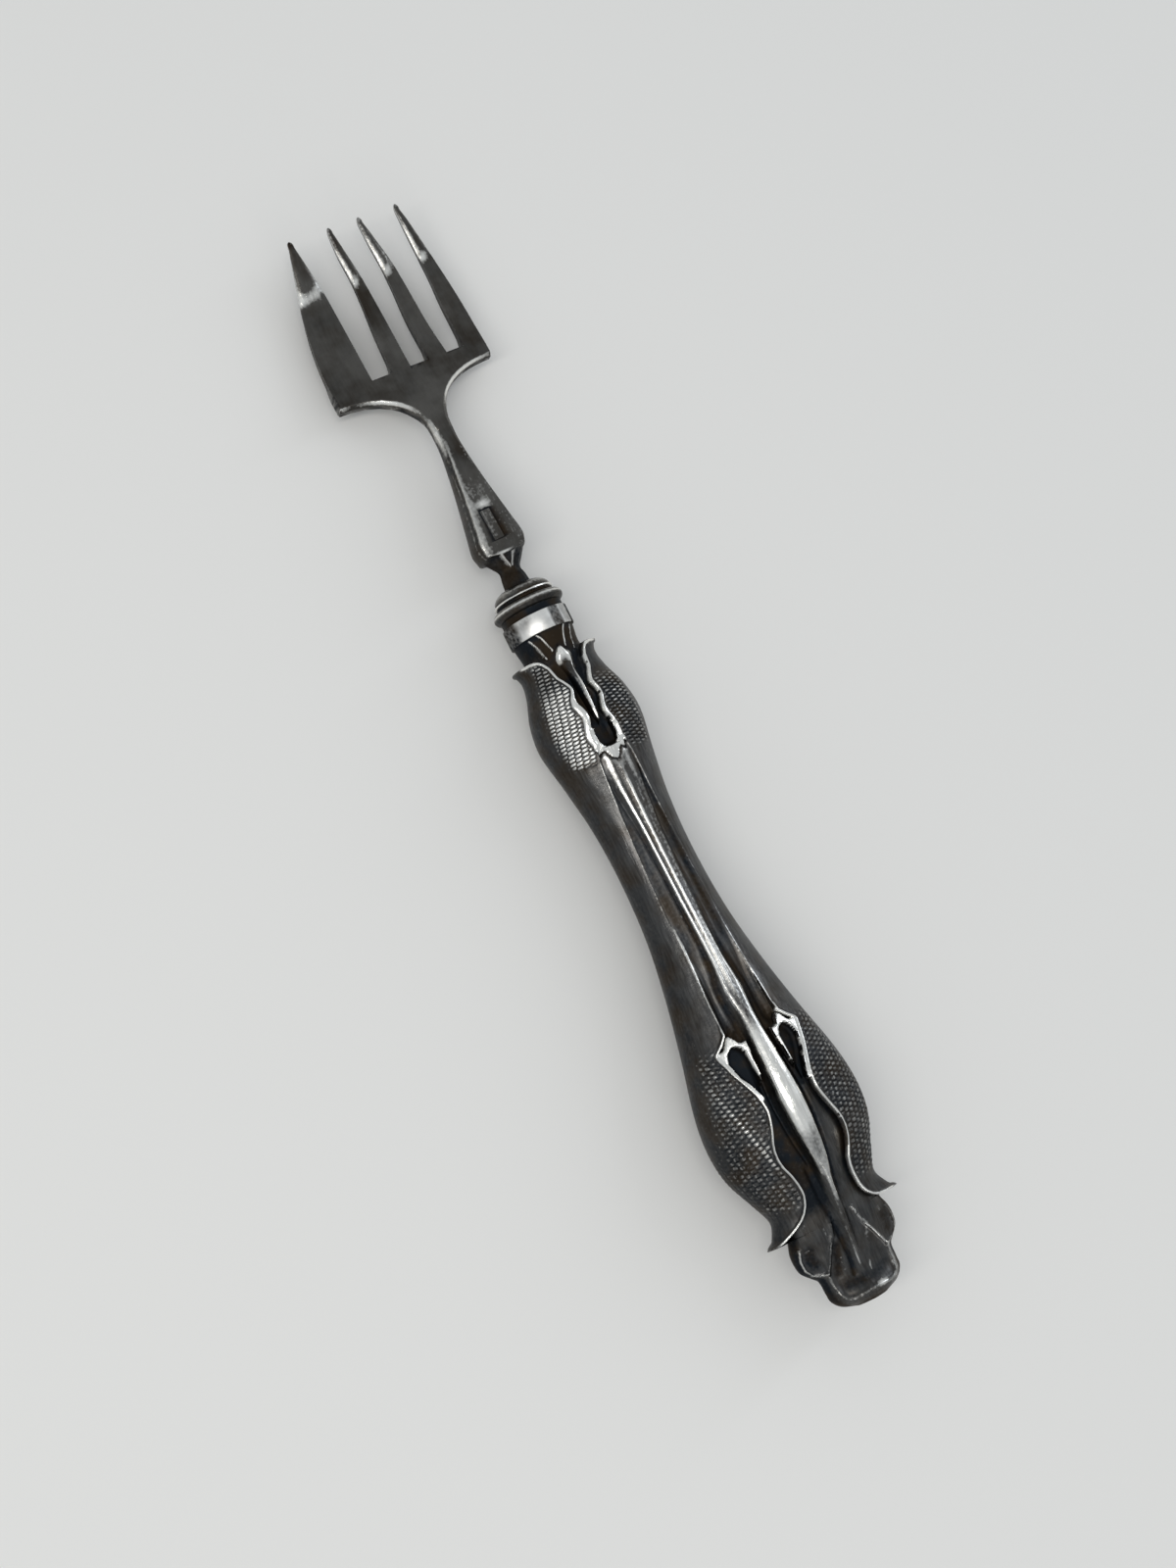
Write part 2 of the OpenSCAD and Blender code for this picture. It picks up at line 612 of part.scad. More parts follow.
// Side view of the head: [place, share of the fall from the neck to the belly] and the lifted points
fall_shares = [[-0.03, 0], [0.15, 0.02], [0.45, 0.2], [0.75, 0.42], [1, 0.6]];
function head_z(side, fall) =
    mix(neck_lift + side * neck_rise, side > 0 ? -flat_drop : belly_z, fall);
bend_soft = 1.4;
module head_side() {
    top = -flat_drop;
    tip = top + point_lift;
    polygon(concat(
        [for (f = fall_shares) [mix(arc_low, shoulder_y, f[0]), head_z(1, f[1])]],
        [
            [root_y, head_z(1, 0.76)],
            [mix(root_y, belly_y, 0.5), head_z(1, 0.95)],
            [belly_y, top],
            [bend_y - bend_soft, top + point_lift * 0.03],
            [bend_y, top + point_lift * 0.1],
            [bend_y + bend_soft, top + point_lift * 0.27],
            [point_y, tip],
            [point_y, tip - point_t],
            [mix(bend_y, point_y, 0.45), top + point_lift * 0.48 - tine_t * 0.84],
            [bend_y, top + point_lift * 0.1 - tine_t],
            [belly_y, belly_z],
            [root_y, head_z(-1, 0.8)]
        ],
        [for (i = [len(fall_shares) - 1 : -1 : 0])
            [mix(arc_low, shoulder_y, fall_shares[i][0]), head_z(-1, fall_shares[i][1])]]
    ));
}
module head_plate() {
    intersection() {
        translate([0, 0, -head_half]) linear_extrude(2 * head_half) head_outline();
        translate([-head_half - over, 0, 0]) rotate([90, 0, 90])
            linear_extrude(2 * head_half + 2 * over) head_side();
    }
}

mark_y = foot_y + shank_len * 0.28;
mark_z = shank_rise * 0.96 + neck_lift * 0.42;
module fork_head() {
    color([0.42, 0.42, 0.41]) lay_down() difference() {
        union() {
            shank();
            head_plate();
        }
        translate([0, foot_y - over, 0]) rotate([-90, 0, 0])
            cylinder(r = tang_r + fit_gap, h = tang_set + over, $fn = 48);
        translate([-mark_w / 2, mark_y - mark_len / 2, mark_z - mark_deep])
            cube([mark_w, mark_len, shank_rise]);
    }
}

fork_head();
tang();
bolster();
ferrule();
handle_front_shell();
handle_back_shell();
handle_filling();
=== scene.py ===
"""Oyster fork with a filled, chased silver handle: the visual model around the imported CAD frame."""

import math

import bpy
import numpy as np
from bpy.props import FloatProperty, FloatVectorProperty, IntProperty, PointerProperty
from mathutils import Matrix, Vector


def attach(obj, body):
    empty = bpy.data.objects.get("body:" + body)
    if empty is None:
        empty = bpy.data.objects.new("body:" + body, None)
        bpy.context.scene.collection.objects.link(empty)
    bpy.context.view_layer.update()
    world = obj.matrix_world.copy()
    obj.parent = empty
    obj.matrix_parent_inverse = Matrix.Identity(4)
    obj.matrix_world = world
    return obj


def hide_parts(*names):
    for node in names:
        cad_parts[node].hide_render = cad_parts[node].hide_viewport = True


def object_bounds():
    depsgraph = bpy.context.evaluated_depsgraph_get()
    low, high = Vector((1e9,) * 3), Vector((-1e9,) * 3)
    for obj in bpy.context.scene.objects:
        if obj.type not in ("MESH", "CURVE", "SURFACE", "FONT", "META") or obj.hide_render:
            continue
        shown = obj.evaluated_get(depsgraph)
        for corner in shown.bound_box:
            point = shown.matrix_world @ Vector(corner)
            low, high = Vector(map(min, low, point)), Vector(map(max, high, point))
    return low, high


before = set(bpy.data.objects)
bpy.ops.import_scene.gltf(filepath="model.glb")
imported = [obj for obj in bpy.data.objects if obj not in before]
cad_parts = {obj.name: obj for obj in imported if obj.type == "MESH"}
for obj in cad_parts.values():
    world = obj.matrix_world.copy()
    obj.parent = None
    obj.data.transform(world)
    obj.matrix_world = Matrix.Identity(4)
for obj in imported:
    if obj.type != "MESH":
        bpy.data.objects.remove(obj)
CAD_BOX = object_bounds()

bl_info = {
    "name": "Oyster fork",
    "version": (1, 0, 0),
    "blender": (4, 5, 0),
    "location": "View3D > Sidebar > Oyster fork",
    "description": "Silver oyster fork with a chased, filled handle",
    "category": "Add Mesh",
}

MM = 0.001

# All tables are in the fork's own frame, in millimetres: along from the end of the handle, then the value.
LEAF_LOW, LEAF_HIGH = 10.316, 85.034
LEAF_WIDTH = [
    (10.32, 8.85), (11.15, 7.99), (13.08, 7.13), (15.54, 7.95), (19.49, 9.6), (23.5, 10.15), (28.0, 9.65),
    (35.03, 7.9), (41.97, 6.4), (48.99, 5.3), (56.98, 4.9), (64.0, 5.2), (69.98, 6.05), (74.98, 6.85),
    (78.49, 6.4), (81.48, 5.33), (83.5, 4.97), (85.03, 5.5),
]
LEAF_RISE = [
    (10.32, 4.06), (13.0, 4.69), (18.0, 5.95), (23.5, 6.65), (28.0, 6.51), (35.03, 5.74), (41.97, 4.94),
    (49.96, 4.41), (56.98, 4.2), (64.0, 4.41), (69.98, 5.0), (74.98, 5.5), (79.0, 5.32), (82.0, 4.69),
    (85.03, 4.13),
]
CORE_WIDTH = [
    (0, 2.03), (0.7, 3.8), (1.8, 4.8), (2.9, 4.95), (4.57, 5.1), (5.27, 5.73), (6.32, 6.65), (7.55, 6.9),
    (8.78, 6.82), (10.32, 6.3), (13.08, 5.89), (15.54, 6.7), (19.49, 8.53), (23.5, 9.24), (28.0, 8.93),
    (35.03, 7.5), (41.97, 6.24), (48.99, 5.23), (56.98, 4.85), (64.0, 5.08), (69.98, 5.68), (74.98, 5.89),
    (78.49, 5.38), (81.48, 4.57), (83.5, 4.06),
]
CORE_RISE = [
    (0, 1.4), (0.7, 2.1), (1.8, 2.38), (4.39, 2.17), (7.55, 2.87), (10.32, 3.5), (14.05, 4.2), (18.0, 4.97),
    (23.5, 5.25), (28.0, 5.22), (31.61, 5.08), (35.03, 4.9), (41.97, 4.66), (49.96, 4.27), (56.98, 4.1),
    (64.0, 4.27), (69.98, 4.83), (71.69, 4.9), (72.39, 4.41), (75.51, 4.2), (79.02, 4.1), (81.65, 3.82),
    (83.5, 3.64),
]
RIB_WIDTH = [
    (3.0, 0.42), (8.78, 0.55), (13.0, 0.7), (16.68, 0.95), (20.6, 1.45), (25.0, 1.68), (28.1, 1.57),
    (31.35, 1.32), (36.0, 1.12), (39.5, 1.24), (43.9, 0.87), (52.7, 0.93), (60.6, 1.1), (64.97, 1.42),
    (68.5, 1.75), (70.24, 1.77),
]
RIB_RISE = [
    (3.5, 0.14), (8.78, 0.7), (14.05, 1.12), (17.56, 1.54), (23.5, 1.75), (28.1, 1.61), (31.6, 1.33),
    (35.1, 1.0), (41.97, 0.42), (49.96, 0.28), (57.07, 0.3), (64.0, 0.32), (69.98, 0.28), (71.8, 0.26),
]
END_PLEAT = [
    (0, 1.6), (1.4, 3.0), (2.4, 3.9), (3.3, 4.1), (4.7, 4.15), (5.25, 4.1), (7.1, 3.05), (8.7, 2.15),
    (10.32, 1.8),
]
LOWER_RIM = [
    (17.4, 3.72), (18.55, 4.18), (19.7, 4.4), (20.7, 4.37), (21.65, 4.15), (22.9, 3.7),
    (24.2, 3.33), (25.2, 3.15), (26.3, 3.2), (27.4, 3.4), (28.5, 3.75), (29.7, 4.2), (30.75, 4.58),
    (31.9, 4.88), (33.1, 5.2), (33.4, 5.18), (34.2, 4.25), (35.12, 3.45),
]
LEFT_CURL = [
    (10.32, 8.6), (10.42, 7.9), (10.65, 7.1), (11.05, 6.2), (11.5, 5.35), (12.0, 4.6), (12.6, 4.0),
    (13.5, 3.48), (14.6, 3.22), (15.4, 3.25), (16.3, 3.42),
]
RIGHT_CURL = [
    (10.32, 8.6), (10.36, 7.6), (10.4, 6.4), (10.55, 5.2), (10.9, 4.5), (11.5, 3.85), (12.2, 3.45),
    (13.0, 3.2), (14.4, 3.0), (15.4, 3.02), (16.3, 3.2),
]
WAIST_RIDGE = [
    (35.12, 3.45), (38.8, 3.3), (41.5, 3.15), (46.5, 3.0), (50.8, 2.9), (57.0, 2.64), (64.0, 2.33),
    (70.2, 2.03), (71.8, 1.73),
]
UPPER_RIM = [
    (71.8, 1.65), (72.4, 1.45), (73.0, 1.5), (73.8, 1.5), (74.7, 1.3), (75.5, 1.05), (76.3, 0.98),
    (77.1, 1.15), (77.9, 1.45), (78.6, 1.45), (79.3, 1.25), (79.9, 1.12), (80.4, 1.25), (81.1, 1.55),
    (81.8, 1.9), (82.6, 2.05), (83.4, 2.2), (84.2, 2.6), (84.7, 3.1), (84.95, 3.9), (85.03, 5.1),
]
# Outlines across and along: the loops' caps and dark ovals, the crown and the tear above it
LOOP_CAP = [
    (2.3, 28.3), (2.0, 29.3), (1.86, 30.8), (1.76, 32.2), (1.66, 33.1), (1.62, 33.85), (2.05, 33.65),
    (2.55, 33.8), (2.85, 34.45), (3.25, 35.05), (3.75, 34.75), (4.1, 34.15), (4.5, 33.62), (4.95, 33.66),
    (5.5, 33.55), (5.4, 32.5), (5.1, 31.4), (4.75, 30.2), (4.25, 28.9), (3.75, 27.6), (3.3, 26.3),
    (3.0, 26.4), (2.3, 28.3),
]
LOOP_OVAL = [
    (3.3, 33.65), (3.85, 33.5), (4.4, 32.9), (4.68, 32.0), (4.56, 31.0), (4.22, 29.95), (3.8, 28.95),
    (3.38, 27.9), (3.0, 26.7), (2.5, 26.8), (2.3, 28.2), (2.27, 29.2), (2.24, 30.2), (2.2, 31.4),
    (2.26, 32.4), (2.6, 33.2), (3.3, 33.65),
]
CROWN = [
    (-2.05, 71.15), (-1.5, 71.45), (-1.1, 71.52), (-0.85, 70.95), (-0.5, 70.35), (0.1, 70.05), (0.5, 70.65),
    (0.75, 71.15), (0.98, 71.42), (1.55, 71.0), (1.8, 72.0), (1.8, 73.2), (1.6, 74.6), (-1.6, 74.6),
    (-2.0, 73.0), (-2.05, 71.15),
]
TEAR = [
    (-1.0, 76.6), (-1.08, 75.4), (-1.26, 74.5), (-1.36, 73.6), (-1.3, 72.8), (-1.0, 72.1), (-0.5, 71.78),
    (-0.05, 71.62), (0.5, 71.72), (1.02, 72.2), (1.26, 73.0), (1.26, 74.0), (1.16, 74.8), (1.0, 75.6),
    (0.98, 76.6), (-1.0, 76.6),
]
STEM_WIDTH = [
    (74.8, 0.08), (77.0, 0.34), (80.0, 0.55), (82.0, 0.7), (83.0, 1.0), (83.8, 1.15), (84.5, 0.9),
    (85.1, 0.5), (85.6, 0.12),
]
STEM_LINE = [(74.8, 0.0), (77.0, 0.1), (79.5, 0.2), (81.5, 0.42), (83.2, 0.74), (84.4, 0.82), (85.3, 0.5)]
LOW_LINES = {
    side: [(x, y) for y, x in curl + LOWER_RIM] + [(3.4, 37.0)]
    for side, curl in ((-1, LEFT_CURL), (1, RIGHT_CURL))
}
HIGH_LINE = [(x, y) for y, x in UPPER_RIM] + [(5.5, 85.0)]

# Lines that stand proud: half width, height, brightness left and right (wear with painted highlight), then
# points across and along
PROUD_LINES = [
    (0.17, 0.26, 0.55, 0.45, [(4.3, 5.05), (4.9, 5.15), (5.7, 5.6), (6.3, 6.5), (6.4, 7.6), (6.05, 8.9)]),
    (0.2, 0.3, 0.3, 0.55, [(1.5, 10.8), (2.1, 8.9), (2.95, 7.35), (3.6, 6.0), (4.15, 4.95)]),
    (
        0.34, 0.3, 0.3, 0.45,
        [(0, 1.3), (1.2, 1.22), (2.4, 1.1), (3.3, 1.3), (3.85, 2.1), (4.05, 3.2), (4.15, 4.9)],
    ),
    (0.14, 0.2, 0.75, 0.75, [(1.9, 87.75), (1.5, 87.15), (1.15, 86.15), (0.9, 85.2)]),
    (0.12, 0.16, 0.75, 0.6, [(2.8, 87.5), (2.3, 86.35), (2.05, 85.2), (1.9, 84.6)]),
]
# Lines that are sunk: half width, depth, strength left and right, points
SUNK_LINES = [
    (0.42, 0.32, 1.0, 0.2, [(1.25, 3.6), (1.0, 5.6), (1.1, 8.0), (1.3, 10.3), (1.5, 13.0), (1.7, 17.0)]),
    (0.95, 0.42, 0.9, 0.65, [(5.0, 6.6), (5.3, 7.4), (5.1, 8.3)]),
    (0.7, 0.3, 0.9, 0.45, [(2.9, 4.6), (2.4, 6.0), (2.0, 7.6)]),
    (0.95, 0.36, 0.85, 0.6, [(0.0, 2.7), (1.4, 2.75), (2.7, 3.1)]),
]

# Highlights painted on the end: strength, half width, half length, slant, then across and along
SHEENS = [
    (0.85, 0.85, 0.42, 0.0, 1.3, 1.35), (0.6, 0.14, 0.7, 0.2, 0.95, 3.8), (0.5, 0.3, 0.45, -0.6, 4.9, 9.1),
    (0.3, 0.18, 1.1, 0.1, -2.7, 9.4), (0.28, 0.5, 1.6, 0.35, 2.1, 7.4), (0.4, 0.3, 0.5, 0.0, 3.75, 2.6),
    (0.22, 0.3, 1.8, 0.1, -2.0, 5.2), (0.35, 0.35, 0.3, 0.0, -5.2, 8.4), (0.3, 0.25, 0.9, 0.0, 5.9, 6.9),
]

# Shank: half width, half height, width of the flat as a share, lift of its middle
SHANK_HALF = [
    (94.7, 1.7), (95.9, 1.6), (97.0, 1.47), (97.9, 2.05), (99.2, 2.95), (100.2, 3.3), (101.0, 3.26),
    (102.8, 2.92), (105.3, 2.47), (107.7, 2.08), (110.3, 1.72), (113.0, 1.44), (114.6, 1.37), (116.0, 1.42),
]
SHANK_RISE = [
    (94.7, 1.7), (95.9, 1.55), (97.0, 1.42), (97.9, 1.75), (98.9, 2.3), (99.3, 2.5), (101.0, 2.63),
    (102.8, 2.58), (105.3, 2.36), (107.7, 2.09), (110.3, 1.82), (113.0, 1.56), (114.6, 1.42), (116.0, 1.272),
]
SHANK_FLAT = [
    (94.7, 0.5), (95.9, 0.4), (97.1, 0.05), (98.0, 0.2), (98.8, 0.38), (98.95, 0.82), (99.5, 0.84),
    (102.0, 0.81), (104.7, 0.8), (107.2, 0.79), (110.9, 0.72), (114.7, 0.56), (116.0, 0.577),
]
SHANK_LIFT = [
    (94.7, 0), (97.0, 0.03), (99.0, 0.15), (102.8, 0.27), (107.7, 0.42), (112.0, 0.55), (116.0, 0.6),
]
ARC_LOW, SHOULDER, ROOT, BEND = 116.0, 122.9, 125.3, 137.5
HEAD_TOP = [
    (116.0, 1.872), (117.0, 1.83), (119.1, 1.43), (121.2, 0.94), (122.9, 0.54), (125.3, 0.184),
    (128.7, -0.24), (132.1, -0.35), (136.1, -0.3), (137.3, -0.18), (137.9, -0.05), (138.9, 0.16),
    (145.0, 1.45),
]
HEAD_BOTTOM = [
    (116.0, -0.672), (117.0, -0.7), (119.1, -0.97), (121.2, -1.3), (122.9, -1.56), (125.3, -1.85),
    (128.7, -2.07), (132.1, -2.15), (136.1, -1.68), (137.5, -1.5), (140.9, -0.6), (145.0, 0.85),
]
# Tines from left to right: the places of their left and right sides
TINES = [
    (
        [
            (125.3, -10.35), (126.9, -10.34), (129.4, -10.2), (131.9, -9.92), (134.4, -9.55), (137.5, -8.95),
            (141.4, -8.1), (144.4, -7.38),
        ],
        [(125.3, -4.98), (129.7, -5.0), (134.6, -5.2), (137.7, -5.42), (141.5, -6.08), (144.4, -6.66)],
    ),
    (
        [(125.3, -2.18), (130.0, -1.94), (137.4, -1.57), (141.8, -2.0), (144.4, -2.07)],
        [(125.3, 0.27), (130.0, 0.28), (137.4, -0.11), (141.8, -0.86), (144.4, -1.4)],
    ),
    (
        [(125.3, 2.85), (130.2, 2.71), (137.7, 2.77), (142.1, 2.25), (144.4, 2.0)],
        [(125.3, 5.3), (130.2, 4.9), (137.7, 4.37), (142.1, 3.35), (144.4, 2.68)],
    ),
    (
        [(125.3, 7.65), (130.5, 7.72), (136.8, 7.74), (142.5, 7.28), (144.4, 7.12)],
        [(125.3, 10.35), (130.5, 10.19), (136.8, 9.49), (142.5, 8.32), (144.4, 7.78)],
    ),
]

# Along: the ends of the waist's line, the stem's foot, the round throat, the ferrule and the bolster
WAIST_FROM, WAIST_TO, STEM_FROM, THROAT, MOUTH, BOLSTER = 35.12, 71.8, 74.6, 83.5, 87.8, 90.3
# Grains of the leaves: where their rows start, their length and their number
LOW_GRAIN_FROM, LOW_GRAIN, LOW_GRAINS = 12.5, 0.6, 38
HIGH_GRAIN_FROM, HIGH_GRAIN, HIGH_GRAINS = 70.0, 0.47, 32
# Columns of a half row: the leaf and its steps, then bead, edge, hollow, groove and rib
LEAF_COLS, LOW_STEP, HIGH_STEP, MIDDLE_COLS = 54, 0.165, 0.15, (6, 2, 13, 7, 9)
# Head: half widths at the corners and the neck, facets along the shoulders, where the points get round
HEAD_HALF, NECK_HALF, FACET_ROWS, TIP_FROM = 10.35, 1.42, 4, 144.2
# How bright the facet rows along the shoulders are painted, edge to flat: wear with painted highlight
FACET_WORN = np.array([0.2, 0.6, 0.95, 0.9, 0.35])
# Columns of a tine, then how bright and where the highlight painted at its bend is, for the broad tine and
# for the narrow ones
TINE_PARTS = np.array([0, 0.03, 0.15, 0.38, 0.62, 0.85, 0.97, 1])
BEND_WORN = np.array([0.7, 0.8, 0.8, 0.58, 0.62, 0.66, 0.45, 0.3])
BEND_PLACE = np.array([137.7, 137.7, 137.75, 137.85, 138.0, 138.25, 138.5, 138.6])
BEND_SOFT = np.array([1.9, 1.5, 1.05, 0.95, 0.95, 1.15, 1.5, 1.8])
NARROW_WORN = np.array([0.4, 0.6, 0.75, 0.7, 0.5, 0.3, 0.2, 0.15])
NARROW_PLACE = np.array([137.7, 137.7, 137.75, 137.9, 138.1, 138.3, 138.5, 138.6])


def along(table, place):
    """Smooth curve through a table of (place, value) pairs."""
    xs, ys = np.array(table, float).T
    gap = np.diff(xs)
    rise = np.diff(ys) / gap
    slope = np.concatenate([rise[:1], (ys[2:] - ys[:-2]) / (xs[2:] - xs[:-2]), rise[-1:]])
    i = np.clip(np.searchsorted(xs, place, side="right") - 1, 0, len(xs) - 2)
    t = np.clip((place - xs[i]) / gap[i], 0, 1)
    return (
        ys[i] * (1 + 2 * t) * (1 - t) ** 2
        + slope[i] * gap[i] * t * (1 - t) ** 2
        + ys[i + 1] * t * t * (3 - 2 * t)
        - slope[i + 1] * gap[i] * t * t * (1 - t)
    )


def ease(value):
    """From nought to one with soft ends."""
    c = np.clip(value, 0, 1)
    return c * c * (3 - 2 * c)


def window(place, low, high, soft):
    """One between low and high, fading to nought over soft at both ends."""
    return ease((place - low) / soft) * ease((high - place) / soft)


def bell(off, wide):
    """One in the middle, fading away on both sides."""
    return np.exp(-(off / wide) ** 2)


def runs(stops, counts):
    """Even places from stop to stop, without the last one."""
    parts = zip(stops, stops[1:], counts)
    return np.concatenate([np.linspace(a, b, n, endpoint=False) for a, b, n in parts])


def sizes():
    return bpy.context.scene.fork_sizes


def finish():
    return bpy.context.scene.fork_finish


def lay(points):
    """Turns points in millimetres of the fork's own frame into metres as the fork lies."""
    x, y, z = np.moveaxis(np.asarray(points, float), -1, 0)
    c, s = math.cos(sizes().rest_tilt), math.sin(sizes().rest_tilt)
    y_laid = (y * c + z * s) * MM - sizes().length / 2 * c
    return np.stack([x * MM, y_laid, (z * c - y * s) * MM + sizes().rest_lift], -1)


def select_only(*objects):
    bpy.ops.object.select_all(action="DESELECT")
    for obj in objects:
        obj.select_set(True)
    bpy.context.view_layer.objects.active = objects[0]


def named(name):
    """Names the piece that was just made."""
    obj = bpy.context.object
    obj.name = name
    return obj


def write(data, key, values):
    data.foreach_set(key, np.asarray(values, np.float32).reshape(-1))


def sheet_of(name, points, hollow=0.0, worn=0.0):
    """A grid whose rows and columns are put where the relief has them, with masks on its points."""
    rows, cols = points.shape[:2]
    bpy.ops.object.select_all(action="DESELECT")
    bpy.ops.mesh.primitive_grid_add(x_subdivisions=cols - 1, y_subdivisions=rows - 1, size=1, calc_uvs=False)
    obj = named(name)
    if len(obj.data.vertices) != rows * cols:
        raise RuntimeError(f"{name}: grid has {len(obj.data.vertices)} points, not {rows * cols}")
    write(obj.data.vertices, "co", np.clip(lay(points), *np.array(CAD_BOX)))
    # The masks: tarnish with painted shade, and wear with painted highlights.
    for mask, values in (("hollow", hollow), ("worn", worn)):
        layer = obj.data.attributes.new(mask, "FLOAT", "POINT")
        write(layer.data, "value", np.broadcast_to(values, (rows, cols)))
    obj.data.update()
    return obj


def close_up(name, sheets, smooth=None):
    """Joins sheets into one closed piece with its faces outwards, shaded smooth up to an angle."""
    select_only(*sheets)
    if len(sheets) > 1:
        bpy.ops.object.join()
    obj = named(name)
    obj.data.name = name
    bpy.ops.object.mode_set(mode="EDIT")
    bpy.ops.mesh.select_mode(type="VERT")
    bpy.ops.mesh.select_all(action="SELECT")
    bpy.ops.mesh.remove_doubles(threshold=0.000002)
    bpy.ops.mesh.fill_holes(sides=0)
    bpy.ops.mesh.select_all(action="SELECT")
    bpy.ops.mesh.normals_make_consistent(inside=False)
    bpy.ops.object.mode_set(mode="OBJECT")
    if smooth:
        select_only(obj)
        bpy.ops.object.shade_smooth_by_angle(angle=math.radians(smooth))
    return obj


def change(obj, kind, **values):
    """Gives a piece a modifier and applies it."""
    select_only(obj)
    modifier = obj.modifiers.new(kind.title(), kind)
    for key, value in values.items():
        setattr(modifier, key, value)
    bpy.ops.object.modifier_apply(modifier=modifier.name)


def cover(obj, material):
    obj.data.materials.clear()
    obj.data.materials.append(material)


def dress(obj, material, node):
    """Gives a piece its material and its place in the frame."""
    cover(obj, material)
    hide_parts(node)
    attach(obj, "root")


def blurred(field, rows, cols):
    """Mean of a field over a window of rows and columns."""
    for axis, reach in ((0, rows), (1, cols)):
        pad = [(0, 0)] * field.ndim
        pad[axis] = (reach + 1, reach)
        total = np.moveaxis(np.cumsum(np.pad(field, pad, mode="edge"), axis=axis), axis, 0)
        count = 2 * reach + 1
        field = np.moveaxis((total[count:] - total[:-count]) / count, 0, axis)
    return field


def relief_masks(points):
    """How sunk and how proud each point of a relief is, from its own shape: tarnish with painted shade in the
    recesses, wear on the proud places.
    """
    normal = np.cross(np.gradient(points, axis=1), np.gradient(points, axis=0))
    normal = normal / np.maximum(np.linalg.norm(normal, axis=-1, keepdims=True), 1e-9)
    if normal[..., 2].mean() < 0:
        normal = -normal
    fine = ((blurred(points, 2, 2) - points) * normal).sum(-1)
    broad = ((blurred(points, 7, 6) - points) * normal).sum(-1)
    hollow = np.clip(fine / 0.06, 0, 1) * 0.6 + np.clip(broad / 0.28, 0, 1)
    worn = np.clip(-fine / 0.05, 0, 1) * 0.8 + np.clip(-broad / 0.22, 0, 1) * 0.7
    return np.clip(blurred(hollow, 1, 1), 0, 1), np.clip(worn, 0, 1)


def distance_to(x, y, line):
    """Distance from each point to a line of straight pieces."""
    best = np.full(x.shape, 1e9)
    for (x0, y0), (x1, y1) in zip(line[:-1], line[1:]):
        dx, dy = x1 - x0, y1 - y0
        t = np.clip(((x - x0) * dx + (y - y0) * dy) / (dx * dx + dy * dy), 0, 1)
        best = np.minimum(best, np.hypot(x - x0 - t * dx, y - y0 - t * dy))
    return best


def depth_inside(x, y, outline):
    """Distance from the outline for points inside it, nought outside."""
    inside = np.zeros(x.shape, bool)
    for (x0, y0), (x1, y1) in zip(outline[:-1], outline[1:]):
        at = x0 + (y - y0) / ((y1 - y0) if y1 != y0 else 1e-9) * (x1 - x0)
        inside ^= ((y0 > y) != (y1 > y)) & (x < at)
    return np.where(inside, distance_to(x, y, outline), 0.0)


def core_at(table, y):
    """Half width or rise of the handle's core; its throat turns round as it rises to the ferrule."""
    if y < THROAT:
        return along(table, y)
    t = (y - THROAT) / (MOUTH - THROAT)
    start, middle, mouth = table[-1][1], 3.666, 3.9
    if t < 0.5:
        return start + (middle - start) * ease(t * 2)
    return middle + (mouth - middle) * ease(t * 2 - 1)


def arch(x, half, high):
    return high * np.sqrt(np.clip(1 - (x / half) ** 2, 0, 1))


def rim_at(y, side):
    """Where the leaves end and the middle begins."""
    if y <= LEAF_LOW:
        seam, pleat = 0.93 * along(CORE_WIDTH, y) - 0.25, along(END_PLEAT, y)
        return pleat + (max(seam, pleat) - pleat) * ease((y - 8.0) / 2.2)
    if y <= WAIST_FROM:
        return along((LEFT_CURL if side < 0 else RIGHT_CURL) + LOWER_RIM, y)
    if y <= WAIST_TO:
        return along(WAIST_RIDGE, y)
    return along(UPPER_RIM, y) if y <= LEAF_HIGH else 3.4 - 0.8 * ease((y - LEAF_HIGH) / 1.4)


def leaf_places(half, high, bead_foot, want):
    """Angles and distances of a leaf's points, at even steps from its rim where there is room for them."""
    angle = np.linspace(0, math.pi / 2, 240)
    x, z = half * np.cos(angle), high * np.sin(angle)
    run = np.concatenate([[0], np.cumsum(np.hypot(np.diff(x), np.diff(z)))])
    edge = np.interp(math.acos(min(bead_foot / half, 1)), angle, run)
    s = np.linspace(0, want, LEAF_COLS + 1)
    if edge >= want:
        d = s * edge / want
    elif edge >= want * 0.52:
        keep = max(0.0, 0.9 * (2 * edge - want))
        extra = np.maximum(s - keep, 0)
        d = np.minimum(s, keep) + extra - (want - edge) * (extra / (want - keep)) ** 2
    else:
        d = edge * (1 - (1 - s / want) ** (want / edge))
    return np.interp(edge - d, run, angle), d + run[-1] - edge


